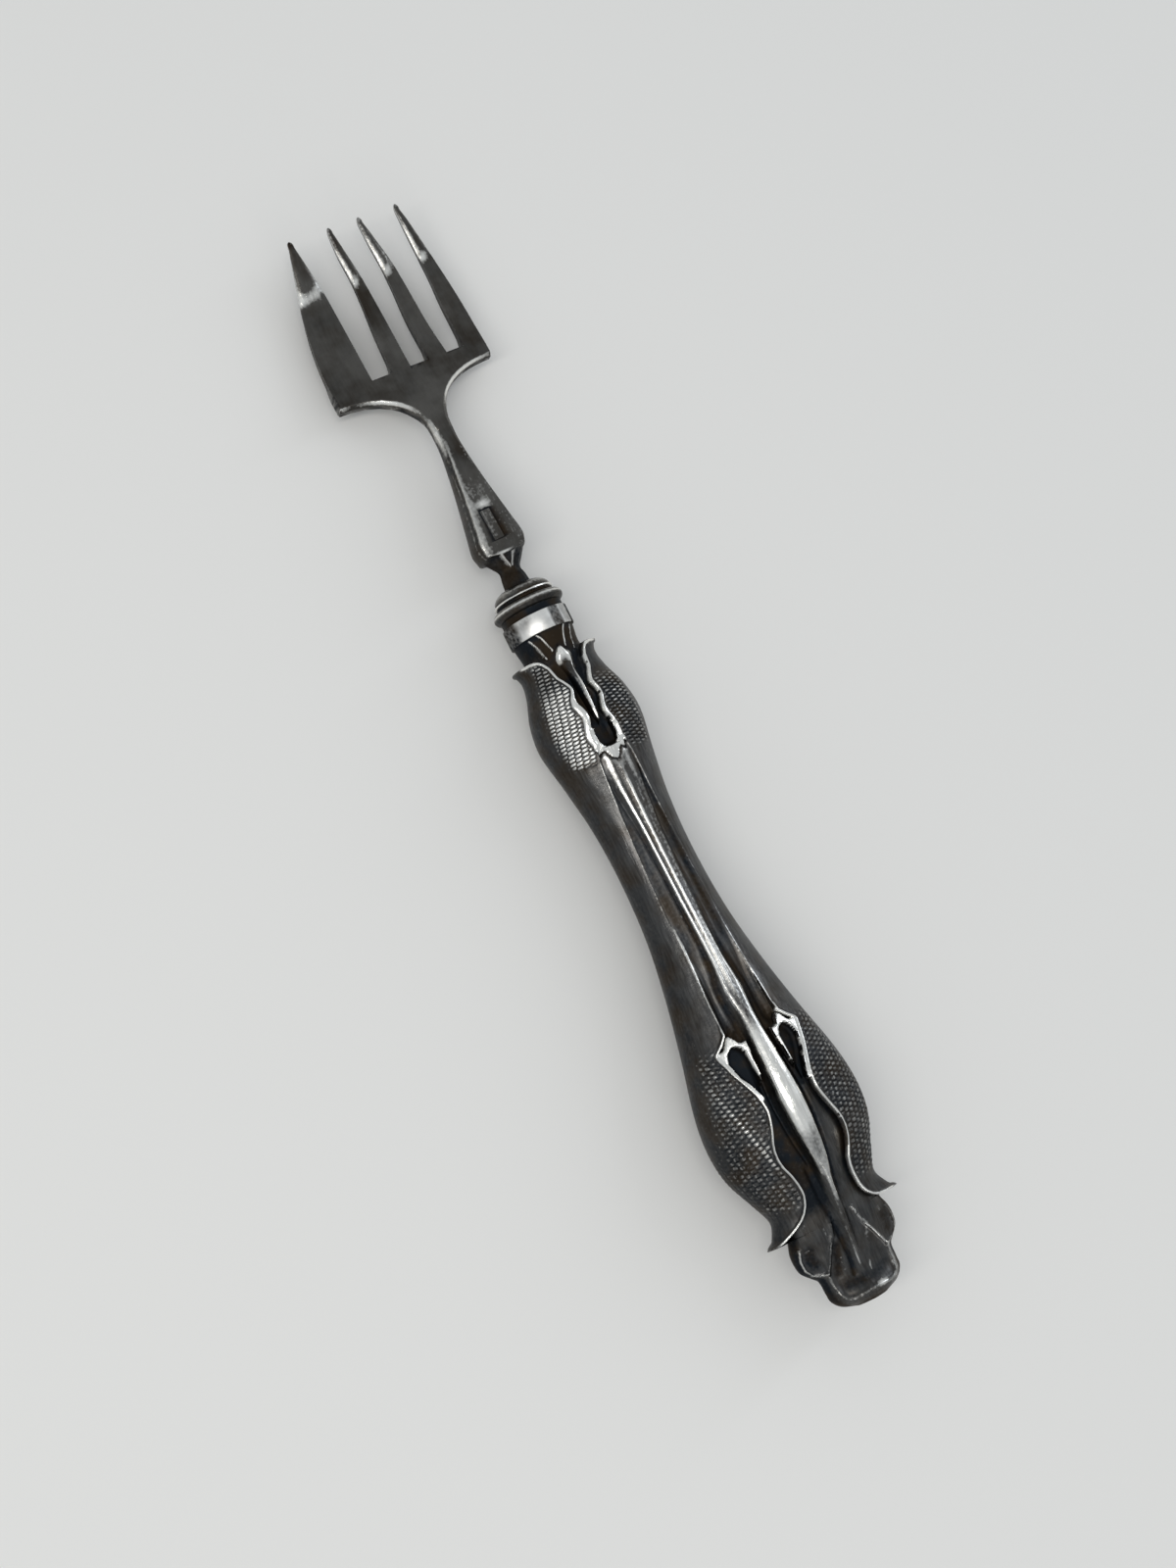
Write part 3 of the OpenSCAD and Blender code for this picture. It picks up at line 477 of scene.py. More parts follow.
class HalfRow:
    """Half a row across the handle, in millimetres, from the seam to the middle, what is chased on it, and
    the highlights and shade painted on it.
    """

    def __init__(self, y, side):
        self.y, self.side = y, side
        self.left, self.low, self.in_leaf = side < 0, y < 50, LEAF_LOW < y <= LEAF_HIGH
        self.half = half = along(LEAF_WIDTH, y) if self.in_leaf else core_at(CORE_WIDTH, y)
        self.high = along(LEAF_RISE, y) if self.in_leaf else core_at(CORE_RISE, y)
        self.rim = rim = min(rim_at(y, side), 0.93 * half - 0.25)
        self.bead = 0.45
        if self.left and WAIST_TO < y < 80:
            self.bead = 0.45 + 0.65 * window(y, 71.0, 80.0, 2.6)
        rim_edge, foot = rim + 0.12, max(rim - 0.12, 0.05)
        bead_foot = min(rim_edge + self.bead, 0.975 * half)
        step = LOW_STEP + (HIGH_STEP - LOW_STEP) * ease((y - 40.0) / 20.0)
        theta, self.run = leaf_places(half, self.high, bead_foot, LEAF_COLS * step)
        rib_foot = min(foot * 0.9, 1.2 * along(RIB_WIDTH if y < WAIST_TO else STEM_WIDTH, y))
        stops = [bead_foot, rim_edge, foot, rib_foot + (foot - rib_foot) * 0.36, rib_foot, 0]
        parts = [np.linspace(a, b, n + 1)[1:] for a, b, n in zip(stops, stops[1:], MIDDLE_COLS)]
        self.x = np.concatenate([half * np.cos(theta)[::-1], *parts])
        self.here = np.full(self.x.shape, y)
        self.core = arch(self.x, core_at(CORE_WIDTH, y), core_at(CORE_RISE, y))
        self.shine, self.dark = np.zeros((2, *self.x.shape))

    # Paints light into the bright mask: painted highlights, and wear on rubbed places.
    def lit(self, value):
        self.shine = np.maximum(self.shine, value)

    # Paints dark into the dark mask: painted shade, and tarnish in the recesses.
    def shade(self, value):
        self.dark = np.maximum(self.dark, value)

    def near(self, line, reach):
        places = [y for x, y in line]
        return min(places) - reach < self.y < max(places) + reach

    def cap(self, x, outline, soft, hole, hole_soft, sink):
        """Raises a cap to the leaf's height, with a dark hole in it."""
        body = ease(depth_inside(x, self.here, outline) / soft)
        deep = depth_inside(x, self.here, hole)
        self.core += body * (1 - ease(deep / 0.14)) * (arch(self.x, self.half, self.high) + 0.04 - self.core)
        self.core -= sink * ease(deep / 0.6)
        self.lit(body * (deep <= 0.03))
        self.dark = np.maximum(self.dark * (1 - body), ease(deep / hole_soft))

    def chase_rib(self):
        """The rib with its crest, the dark grooves at its foot and the band between the waist's lines, with
        painted highlights on the crest, lines and band, and painted shade on the flanks.
        """
        x, y, left = self.x, self.y, self.left
        w = along(RIB_WIDTH, y)
        peaked = ease((19.0 - y) / 5.0)
        broad = 0.0 if left else window(y, 44.0, WAIST_TO, 8.0)
        square = ease((1.2 * w - x) / (0.6 * w)) * (1 - broad) + broad * ease((1.75 * w - x) / (1.5 * w))
        self.core += along(RIB_RISE, y) * (peaked * bell(x, 0.85 * w) + (1 - peaked) * square)
        round_top = window(y, 15.0, 42.0, 7.0)
        self.core -= round_top * 0.3 * np.clip((x / w) ** 2, 0, 1) * ease((1.2 * w - x) / (0.5 * w))
        # Painted highlight on the rib's rounded top, brighter on the left.
        self.lit(window(y, 17.5, 38.0, 6.0) * (1.0 if left else 0.8) * ease((w - x) / (0.45 * w)))
        # Painted highlight along the lower crest, mostly on the left.
        end_lit = 0.3 + 0.35 * ease((7.0 - y) / 2.0) if left else 0.1
        self.lit(window(y, 3.0, 20.0, 2.5) * end_lit * bell(x - 0.24, 0.13))
        waist = window(y, 36.0, 71.5, 6.0)
        ridged = 1.0 if left else 0.15
        ridges = 0.1 * ridged * bell(x - 0.78 * w, 0.16) + 0.12 * bell(x, 0.2)
        self.core += waist * (ridges - 0.07 * ridged * bell(x - 0.42 * w, 0.22))
        # Painted highlights on the waist's left line and middle line; the right line stays dim.
        self.lit(waist * (1.0 if left else 0.08) * bell(x - 0.78 * w, 0.14))
        self.lit(waist * 0.95 * bell(x, 0.14))
        low_waist = ease((54.0 - y) / 14.0)
        groove = window(y, 12.0, 70.0, 3.0)
        self.core -= 0.16 * groove * bell(x - 1.28 * w, 0.2)
        # The grooves at the rib's foot are dark: tarnish with painted shade, weaker on the right towards the
        # end.
        deep = groove * ease((60.0 - y) / 20.0) * (0.9 if left or y > 26 else 0.45)
        self.shade(deep * bell(x - 1.45 * w, 0.45))
        if left:
            # Painted sheen on the band between the left lines and on the outer left flank; painted shade
            # beside the rib and on the lower left flank.
            self.lit(waist * (0.16 + 0.4 * low_waist) * ease((0.85 * w - x) / (0.2 * w)))
            self.lit(0.13 * window(y, 12.0, 72.0, 8.0) * bell(x / self.half - 0.8, 0.1))
            self.shade(0.55 * window(y, 42.0, 70.5, 4.0) * bell(x - 2.3, 0.9))
            self.shade(0.85 * window(y, 10.5, 27.0, 3.0) * ease((x - 0.9 * w) / (0.3 * w)))
        else:
            # A soft painted highlight right of the rib, and a painted dark band beyond it.
            self.lit(waist * (0.24 + 0.3 * low_waist) * bell(x - 0.5 * w, 0.38))
            self.shade(0.75 * window(y, 43.0, 71.0, 4.0) * bell(x - 2.25, 0.6))

    def chase_groove(self):
        """The groove between the rib and the waist's line, with a painted highlight on its ridge, strong on
        the left and faint on the right.
        """
        y, w = self.y, 1.2 * along(RIB_WIDTH, self.y)
        t = np.clip((self.x - w) / max(self.rim - w, 0.1), 0, 1)
        self.core -= 0.62 * ease((51.0 - y) / 14.0) * ease((y - 33.0) / 2.2) * np.sin(math.pi * t) ** 1.2
        ridge = window(y, 34.5, 51.0, 4.0) * bell(self.x - self.rim, 0.2)
        self.core += 0.14 * ridge
        self.lit(ridge * (0.8 if self.left else 0.25 * ease((46.0 - y) / 6.0)))

    def chase_crown(self):
        """The crown under the upper leaves and the tear over it."""
        y, signed = self.y, self.side * self.x
        outside = (depth_inside(signed, self.here, CROWN) <= 0) * (self.x < 1.9)
        near = bell(distance_to(signed, self.here, CROWN), 0.24) * outside * (1 - ease((y - 71.4) / 0.4))
        self.core -= 0.16 * near
        self.shade(near)
        self.shine = self.shine * (1 - 0.85 * near)
        self.cap(signed, CROWN, 0.12, TEAR, 0.1, 0.3 * (1 - ease((y - 73.4) / 2.4)))

    def chase_stem(self):
        """The stem in the gap between the upper leaves, with its bright line and its bud, both painted
        highlights, and the gap's floor darkened with tarnish and painted shade.
        """
        x, y, signed = self.x, self.y, self.side * self.x
        roof = np.clip(1 - x / along(STEM_WIDTH, y), 0, 1)
        t = np.clip(x / max(self.rim, 0.1), 0, 1)
        crest = bell(signed - along(STEM_LINE, y), 0.22) * window(y, 74.9, 85.0, 1.0)
        tall = 1.0 + 0.35 * window(y, 75.2, 81.5, 1.5) - 0.6 * ease((y - 80.8) / 2.2)
        self.core -= 0.35 * window(y, STEM_FROM, 84.5, 2.0) * (1 - t ** 4)
        self.core += tall * window(y, STEM_FROM, 85.9, 0.7) * ease(roof / 0.5) + 0.1 * crest
        # The gap's floor beside the stem is darkened: tarnish with painted shade.
        self.shade(0.9 * ease((y - STEM_FROM) / 0.5) * (1 - ease((roof - 0.4) / 0.5)) * (1 - t ** 8))
        # Painted highlight along the stem's crest.
        self.shine = np.maximum(self.shine * (1 - 0.5 * ease((roof - 0.5) / 0.3)), crest)
        # The bud is a painted highlight, kept dark in a patch at its lower left.
        bud = window(y, 82.9, 85.6, 0.6) * ease(roof / 0.25)
        patch = bell(signed + 0.15, 0.58) * bell(y - 83.3, 0.7)
        self.dark = self.dark * (1 - crest) * (1 - bud) + 0.85 * patch * bud
        self.lit(bud * 0.85 * (1 - ease((signed - 0.9) / 0.2)))
        self.shine = self.shine * (1 - 0.9 * patch * (1 - crest))

    def chase_lines(self):
        """The lines that stand proud or are sunk, the painted highlights on the end, a darker throat and end,
        and painted shade on the side walls and the end face.
        """
        x, y = self.x, self.y
        # Proud lines are painted bright: wear with painted highlight, differing left and right.
        for wide, tall, left_share, right_share, line in PROUD_LINES:
            if self.near(line, 1):
                crest = bell(distance_to(x, self.here, line), wide)
                self.core += tall * crest
                self.lit((left_share if self.left else right_share) * crest ** 2)
        for wide, deep, left_share, right_share, line in SUNK_LINES:
            if self.near(line, 2):
                share = left_share if self.left else right_share
                sink = share * bell(distance_to(x, self.here, line), wide)
                self.core -= deep * sink
                self.shade(sink * 0.95)
        # Painted highlights on the end.
        for share, wide, long, slant, across, place in SHEENS:
            if abs(y - place) < 3 * long:
                off = self.side * x - across - slant * (y - place)
                self.lit(share * bell(off, wide) * bell(y - place, long))
        # Darker at the throat below the ferrule and, slightly, towards the handle's end.
        self.shade(0.85 * ease((y - 84.6) / 0.8))
        self.shade(0.25 * ease((11.5 - y) / 2.5))
        # Painted shade on the side walls near the seam and on the end face.
        if not self.in_leaf:
            self.shade(0.85 * ease((x / self.half - 0.82) / 0.12))
            self.shade(0.8 * (1 - ease(y / 0.8)))

    def grains(self):
        """Grains in staggered columns that run down the leaves: their rise, shape, place and chance."""
        y, low, d = self.y, self.low, np.full(self.x.shape, -1.0)
        d[: LEAF_COLS + 1] = self.run[::-1]
        slanted = d + 20 + (-0.27 * (y - 24.0) if low else 0.28 * (y - 75.0))
        start, period = (LOW_GRAIN_FROM, LOW_GRAIN) if low else (HIGH_GRAIN_FROM, HIGH_GRAIN)
        across = np.where(d >= 0, slanted, -1.0) / (0.82 if low else 0.92)
        column = np.floor(across + 1e-6)
        place = (y - start) / period + np.where(column % 2 == 1, 0.5, 0.0)
        number = np.floor(place + 1e-6)
        wide = 1 - np.abs(2 * (across - column) - 1) ** (3.5 if low else 4)
        tall = 1 - np.abs(2 * (place - number) - 1) ** (2.6 if low else 2)
        bump = np.clip((0.15 + 0.85 * wide) * tall, 0, 1)
        mix = np.sin(column * 12.99 + number * 78.23) * 437.58
        luck = mix - np.floor(mix)
        share = self.x / self.half
        if low:
            reach = 0.97 + 0.08 * ease((26.0 - y) / 6.0)
            show = window(y, 12.6, 34.9, 2.2) * ease((reach - share) / 0.14)
            size = 0.14 + 0.06 * luck
        else:
            show = window(y, 70.2, 84.9, 1.2) * ease((0.9 - share) / 0.14)
            size = 0.16 + 0.05 * luck
        show = np.where(d >= 0, show, 0.0)
        return size * show * bump, bump, show, luck

    def lay_leaf(self):
        """The leaf with its beaded rim and its grains over the core, with painted highlights and shade in its
        masks; gives the row's places and heights.
        """
        x, y, left, low = self.x, self.y, self.left, self.low
        share = x / self.half
        leaf = arch(x, self.half, self.high)
        beaded = max(ease((36.6 - y) / 1.2), ease((y - 71.3) / 0.8))
        away = distance_to(x, self.here, LOW_LINES[self.side] if low else HIGH_LINE)
        roll = np.clip(away / self.bead, 0, 1)
        bead = (0.06 + 0.18 * np.sin(math.pi * roll) ** 0.7) * (1 - ease((roll - 0.75) / 0.25)) * beaded
        rise, bump, show, luck = self.grains()
        clear = ease((away - self.bead) / 0.15)
        plain_tip = 0.0 if left else ease((y - 79.0) / 2.5)
        show = show * (1 - plain_tip)
        start, soft = (0.35, 0.35) if low else (0.6, 0.4)
        # The bead is painted bright, wear with a painted highlight, less so near the seam.
        rim_shine = beaded * (1 - ease((roll - start) / soft)) * (1 - 0.75 * ease((share - 0.84) / 0.1))
        if low:
            # A painted highlight runs down each low lobe's grains, stronger on the left.
            bright_x = 6.4 + 0.27 * (y - 24.5) if left else 6.7
            line = bell(x - bright_x, 0.9) * window(y, 15.0, 36.0, 5.0)
            top = 0.16 * luck ** 2 + (0.55 if left else 0.3) * line
            top = top * (1 - ease((share - 0.84) / 0.12))
            sharp, hole, deep, base = 2, 1.3, 0.75, 0.4
        else:
            # Tops of the upper grains: painted bright on the left leaf, dim on the right, less bright towards
            # the top.
            top = 0.95 + 0.1 * luck ** 2 if left else 0.22 + 0.4 * luck ** 2
            top = top * (1 - ease((share - 0.72) / 0.2)) * (1 - 0.7 * ease((y - 79.0) / 3.0))
            sharp, hole, deep, base = (1.2, 1.1, 0.9, 0.0) if left else (2, 0.7, 0.9, 0.3)
        bright = np.maximum(rim_shine, show * clear * bump ** sharp * top)
        # Dark: tarnish in the gaps between grains, painted shade towards the seam, a darker level over the
        # low grain fields and the right upper leaf, and a dim plain tip on the right.
        gap = np.maximum(show * clear * (1 - bump) ** hole * deep, ease((share - 0.66) / 0.3) * 0.5)
        dim = np.maximum(gap, np.maximum(base * show, 0.4 * plain_tip)) * (1 - rim_shine)
        on_leaf = np.arange(len(x)) <= LEAF_COLS + MIDDLE_COLS[0]
        self.shine = np.where(on_leaf, bright, self.shine)
        self.dark = np.where(on_leaf, dim, self.dark)
        nx, nz = x / self.half ** 2, leaf / self.high ** 2
        lift = (rise * clear * (1 - plain_tip) + bead) / np.maximum(np.hypot(nx, nz), 1e-9)
        return np.where(on_leaf, x + lift * nx, x), np.where(on_leaf, leaf + lift * nz, self.core)

    def chased(self):
        """Chases all of the half row; gives its points and how bright and how dark they are."""
        x, y = self.x, self.y
        if y < WAIST_TO:
            self.chase_rib()
        if 30.0 < y < 52.0:
            self.chase_groove()
        if 26.0 < y < 35.6:
            self.cap(x, LOOP_CAP, 0.13, LOOP_OVAL, 0.05, 0.35)
        if y > 69.8:
            self.chase_crown()
        if y >= STEM_FROM:
            self.chase_stem()
        self.chase_lines()
        if self.in_leaf:
            x, z = self.lay_leaf()
        else:
            x, edge = x.copy(), ease((self.half - x) / (0.06 * self.half))
            z = arch(x, self.half, self.high) * (1 - edge) + self.core * edge
        z = np.maximum(z, 0.012)
        x[0], z[0] = self.half, 0.0
        return np.stack([self.side * x, self.here, z], -1), self.shine, self.dark


def handle_relief():
    """Rows and columns of the front relief, in millimetres, and its masks: tarnish with painted shade, and
    wear with painted highlights.
    """
    low_end = LOW_GRAIN_FROM + LOW_GRAIN * LOW_GRAINS
    high_end = HIGH_GRAIN_FROM + HIGH_GRAIN * HIGH_GRAINS
    stops = [0, 0.8, 10.2, 11.0, LOW_GRAIN_FROM, low_end, HIGH_GRAIN_FROM, high_end]
    counts = [8, 60, 14, 12, 4 * LOW_GRAINS, 66, 4 * HIGH_GRAINS]
    ys = np.concatenate([runs(stops, counts), np.linspace(high_end, MOUTH, 18)])
    rows = []
    for y in ys:
        halves = zip(HalfRow(y, -1).chased(), HalfRow(y, 1).chased())
        rows.append([np.concatenate([left, right[-2::-1]]) for left, right in halves])
    points, shine, dark = (np.array(part) for part in zip(*rows))
    hollow, worn = relief_masks(points)
    calm = 1 - np.maximum(window(ys, 9.7, 10.9, 0.4), window(ys, 84.5, 85.6, 0.4))[:, None]
    calm = calm * (1 - 0.7 * ease((13.5 - ys) / 2.5))[:, None]
    shine, dark = np.clip(shine, 0, 1), np.clip(dark, 0, 1)
    # The painted shade and highlights of the rows go over the masks from the shape.
    hollow = np.clip(np.maximum(hollow * calm * 0.8, dark) - shine * 0.6, 0, 1)
    worn = np.clip(np.maximum(worn * calm * 0.5 * (1 - 0.92 * dark), shine), 0, 1)
    return points, hollow, worn


def shell_sheet(name, points, hollow, worn, back):
    """One closed half shell: the relief outside, a smooth cavity inside that starts behind a solid end."""
    wall, start, columns = 0.6, 3.2, 9
    turn = np.linspace(0, math.pi, columns)
    inner = []
    for y in points[:, 0, 1]:
        half = core_at(CORE_WIDTH, y) - wall
        high = core_at(CORE_RISE, y) - wall if y >= start else 0.0
        inner.append(np.stack([half * np.cos(turn), np.full(columns, y), high * np.sin(turn)], -1))
    whole = np.concatenate([points, inner, points[:, :1]], axis=1) * (1.0, 1.0, -1.0 if back else 1.0)
    masks = [np.concatenate([m, np.zeros((len(m), columns)), m[:, :1]], axis=1) for m in (hollow, worn)]
    return sheet_of(name, whole, *masks)


def turned(name, profile, at, smooth, around=None):
    """Turns a profile of (radius, along, tarnish with painted shade, wear with painted highlight) round the
    axis; around paints reflected dark on it by angle.
    """
    steps = sizes().turned_steps
    angle = np.linspace(0, 2 * math.pi, steps + 1)
    r, a, hollow, worn = np.array(profile + profile[:1], float).T[..., None]
    y = np.broadcast_to(a + at, (len(a), steps + 1))
    points = np.stack([r * np.sin(angle), y, r * np.cos(angle)], -1)
    if around is not None:
        shade = around(np.sin(angle))[None, :]
        hollow, worn = np.maximum(hollow, shade), worn * (1 - shade)
    return close_up(name, [sheet_of(name, points, hollow, worn)], smooth)


def slot_line():
    """Places across the slot line: eight to a tine, and three more in each slot."""
    places = []
    for number, (left, right) in enumerate(TINES):
        x0, x1 = left[0][1], right[0][1]
        places += [x0 + (x1 - x0) * part for part in TINE_PARTS]
        if number < len(TINES) - 1:
            after = TINES[number + 1][0][0][1]
            places += [x1 + (after - x1) * k / 4 for k in (1, 2, 3)]
    return np.array(places)


def facet(q, share):
    """Place across a facet band and height over its edge, from the edge (0) to the flat (1)."""
    kinks = 0.3 + 0.2 * share, 0.62 - 0.1 * share
    return [np.where(q < 0.5, q * 2 * kink, kink + (q - 0.5) * 2 * (1 - kink)) for kink in kinks]


def shoulder(share):
    """Place on the right shoulder's arc, from the neck (0) to the corner (1), and its normal."""
    power = 0.87
    a = np.clip(share, 0.0001, 0.9999) * math.pi / 2
    wide, tall = HEAD_HALF - NECK_HALF, SHOULDER - ARC_LOW
    tx = wide * power * np.cos(a) ** (power - 1) * np.sin(a)
    ty = tall * power * np.sin(a) ** (power - 1) * np.cos(a)
    size = np.hypot(tx, ty)
    return HEAD_HALF - wide * np.cos(a) ** power, ARC_LOW + tall * np.sin(a) ** power, -ty / size, tx / size


def level(plan, table):
    """Gives points of a plan their height on the head's top or bottom."""
    return np.concatenate([plan, along(table, plan[..., 1])[..., None]], -1)


def squeezed(low, high, share):
    middle, half = (low + high) / 2, (high - low) / 2 * share
    return middle - half, middle + half


def tine_sheet(number, sides):
    """One tine, ring by ring: bevelled from its bend on, narrower underneath, round at its point, with
    highlights painted at its bend and bevels, and shade painted underneath and at the broad tine's point.
    """
    broad = number == 0
    tip = TIP_FROM + 0.8 * np.sin(np.linspace(0, math.pi / 2, 9))
    ys = np.concatenate([runs([ROOT, 136.3, 139.2, TIP_FROM], [20, 12, 14]), tip])
    rings, worns, hollows = [], [], []
    for y in ys:
        x0, x1 = (along(side, min(y, TIP_FROM)) for side in sides)
        top, low = along(HEAD_TOP, y), along(HEAD_BOTTOM, y)
        if y > TIP_FROM:
            round_end = math.sqrt(max(1 - min((y - TIP_FROM) / 0.8, 1) ** 3, 0))
            x0, x1 = squeezed(x0, x1, max(round_end, 0.3))
            low, top = squeezed(low, top, max(round_end, 0.4))
        far, started = ease((y - BEND + 0.3) / 1.3), ease((y - ROOT) / 2.0)
        edge_in = (0.08 if broad else 0.12) * far
        x = x0 + (x1 - x0) * (TINE_PARTS + edge_in * np.array([0, 1, 1, 0.3, -0.3, -1, -1, 0]))
        drop = min(0.03 * started + (0.13 if broad else 0.12) * far, (top - low) * 0.4)
        fall = drop * np.array([1, 0.15 * far, 0, 0, 0, 0, 0.15 * far, 1])
        tuck = min(0.24 * started, (x1 - x0) * 0.12)
        under = x0 + tuck + (x - x0) * (1 - 2 * tuck / (x1 - x0))
        here = np.full(len(x), y)
        up = np.stack([x, here, top - fall], -1)
        rings.append(np.concatenate([up, np.stack([under[::-1], here, low + fall * 0.4], -1), up[:1]]))
        # Beyond the bend the top is painted bright: bevel edges with wear and painted highlight, painted
        # highlights on the middle and on the narrow tines' left halves.
        mid = (0.0, 0.18, 0.3, 0.12)[number] * far
        half_worn = 0.0 if broad else far * (0.52 - 0.2 * ease((y - 140.5) / 3.0))
        worn = np.array([
            0.2 + 0.5 * far, max(0.12 * far, 0.7 * half_worn), max(mid, half_worn), max(mid, 0.5 * half_worn),
            mid * 0.3, mid, 0.15 * far, 0.1 + 0.4 * far,
        ])
        # The painted highlight across the bend, and a little at the rounded point.
        off = y - (BEND_PLACE if broad else NARROW_PLACE)
        at_bend = bell(off, np.where(off > 0, BEND_SOFT if broad else 0.9, 0.7))
        worn = np.maximum(worn, at_bend * (BEND_WORN if broad else NARROW_WORN))
        worn = np.maximum(worn, 0.35 * ease((y - 144.3) / 0.4))
        worns.append([*worn, *[0.0] * 8, worn[0]])
        # Painted shade on the broad tine's point and on the underside.
        dark = 0.7 * ease((y - 143.6) / 0.9) if broad else 0.0
        hollows.append([dark] * 8 + [0.9 * started] * 8 + [dark])
    return sheet_of("tine", np.array(rings), hollows, worns)


def shank_sheet(neck):
    """The shank, ring by ring, with the same columns as the neck, which go from -1 to 1, with highlights and
    shade painted on it.
    """
    ys = np.concatenate([
        runs([94.7, 96.8, 98.8], [8, 12]), [98.8, 98.87], runs([98.95, 101.0], [10]),
        np.linspace(101.0, ARC_LOW, 44),
    ])
    across, up = facet(np.linspace(0, 1, FACET_ROWS + 1), 0.0)
    rings, worns, hollows = [], [], []
    for y in ys:
        half, high, lift = along(SHANK_HALF, y), along(SHANK_RISE, y), along(SHANK_LIFT, y)
        flat = along(SHANK_FLAT, y) * half
        side_x, flat_x = half + (flat - half) * across, flat * neck[1:-1]
        x = np.concatenate([-side_x, flat_x, side_x[::-1]])
        z = np.concatenate([high * up, np.full(len(flat_x), high), high * up[::-1]])
        here = np.full(len(x), y)
        below = np.stack([x[::-1], here, lift - z[::-1]], -1)
        rings.append(np.concatenate([np.stack([x, here, lift + z], -1), below[1:]]))
        # Painted shade at the foot by the bolster, and painted highlights on the facets and along the line
        # where the flat starts.
        foot, upper, tight = ease((99.0 - y) / 0.3), ease((y - 111.0) / 5.0), 0.6 * window(y, 96.9, 99.0, 0.4)
        bare = 1 - foot
        left = np.array([0.0, 0.05, 0.3 * bare, 0.05, max(0.6 * bare, tight)])
        left = left * (1 - upper) + FACET_WORN * 0.8 * upper
        right = [max(0.2 * bare, tight), 0.05, 0.2 * bare, 0.1 * bare, 0.1]
        # On the flat: a painted highlight along the line where it starts, a painted glint above the mark, and
        # a slightly lighter flat.
        middle = bell(y - 98.9, 0.16) * (0.2 + 0.6 * bell(flat_x + 0.4, 1.1))
        middle = np.maximum(middle, 0.85 * bell(y - 105.3, 0.65) * bell(flat_x + 0.2, 1.2))
        middle = np.maximum(middle, (0.1 + 0.13 * window(y, 98.9, 110.0, 3.0)) * bare)
        top = np.concatenate([left, middle, right])
        worns.append(np.concatenate([top, top[1:] * 0.5]))
        # Painted shade on the side facets and at the foot.
        flanks = np.full(len(worns[-1]), 0.7 * foot)
        flanks[:FACET_ROWS] = max(0.7 * foot, 0.45 * (1 - upper))
        flanks[len(left) + len(middle) + 1:] = max(0.7 * foot, 0.45)
        hollows.append(flanks)
    return sheet_of("shank", np.array(rings), hollows, worns)


def head_sheets():
    """Shank, plate and tines as sheets that meet edge to edge."""
    places = slot_line()
    count = len(places)
    left, right = (int(np.argmin(np.abs(places - x))) for x in (-1.45, 1.45))
    neck = (places[left: right + 1] - places[left]) / (places[right] - places[left]) * 2 - 1
    edge, inner, shares = np.zeros((count, 2)), np.zeros((count, 2)), np.zeros(count)
    flat_neck = 0.577 * NECK_HALF
    bevel = NECK_HALF - flat_neck
    for i, x in enumerate(places):
        if left < i < right:
            edge[i] = inner[i] = (flat_neck * neck[i - left], ARC_LOW)
            continue
        side, bound = (1, places[right]) if i >= right else (-1, places[left])
        shares[i] = (abs(x - bound) / (HEAD_HALF - abs(bound))) ** 0.92
        ex, ey, nx, ny = shoulder(shares[i]) if shares[i] <= 0.999 else (HEAD_HALF, SHOULDER, 0.0, 1.0)
        band = bevel + (0.45 - bevel) * ease(shares[i] * 3)
        edge[i] = (side * ex, ey)
        inner[i] = (side * (ex + nx * band), ey + ny * band)

    # The plate, from the inner line of the facets to the slot line
    plate_rows = 16
    s = np.linspace(0, 1, plate_rows + 1)[:, None, None]
    target = np.stack([places, np.full(count, ROOT)], -1)
    plan = inner * (1 - s) + target * s
    # The plate's first row is painted bright, wear with painted highlight, except across the neck.
    worn = np.zeros((plate_rows + 1, count))
    worn[0] = 0.3
    worn[0, left + 1: right] = 0.0
    sheets = [sheet_of("plate", level(plan, table), worn=worn) for table in (HEAD_TOP, HEAD_BOTTOM)]

    # The facets along the shoulders, with highlights painted along them and extra on the left arc, and the
    # thin wall between them, painted dark
    ends = []
    for columns in (np.arange(left + 1), np.arange(right, count)):
        share = shares[columns]
        glow = 0.15 + 0.85 * window(share, 0.12, 1.15 if ends else 0.97, 0.4)
        if not ends:
            glow = np.maximum(glow, 0.65 * ease((0.25 - share) / 0.2))
            glow = np.maximum(glow, 0.8 * ease((share - 0.93) / 0.05))
        across, up = facet(np.linspace(0, 1, FACET_ROWS + 1)[:, None], share)
        across, blend = across[..., None], ease(share * 3.2)
        xy = edge[columns] * (1 - across) + inner[columns] * across
        faces = []
        for table, drop, worn in ((HEAD_TOP, -0.62, FACET_WORN[:, None] * glow), (HEAD_BOTTOM, 0.42, 0.3)):
            z_in = along(table, inner[columns, 1])
            z_out = 0.6 * (1 - blend) + (z_in + drop) * blend
            faces.append(np.concatenate([xy, (z_out + (z_in - z_out) * up)[..., None]], -1))
            sheets.append(sheet_of("facet", faces[-1], worn=worn))
        sheets.append(sheet_of("arc_wall", np.stack([face[0] for face in faces]), [[0.5], [0.95]]))
        ends.append(faces)

    # The plate's short outer walls, then the bottoms of the slots, both painted dark as shade
    for n in (0, -1):
        wall = [
            np.concatenate([face[:, n], level(plan[1:, n], table)])
            for face, table in zip(ends[n], (HEAD_TOP, HEAD_BOTTOM))
        ]
        sheets.append(sheet_of("outer_wall", np.stack(wall), [[0.6], [0.95]]))
    for first in (7, 18, 29):
        wall = [level(target[first: first + 5], table) for table in (HEAD_TOP, HEAD_BOTTOM)]
        sheets.append(sheet_of("slot", np.stack(wall), 0.85))
    sheets += [tine_sheet(number, sides) for number, sides in enumerate(TINES)]
    return [*sheets, shank_sheet(neck)]


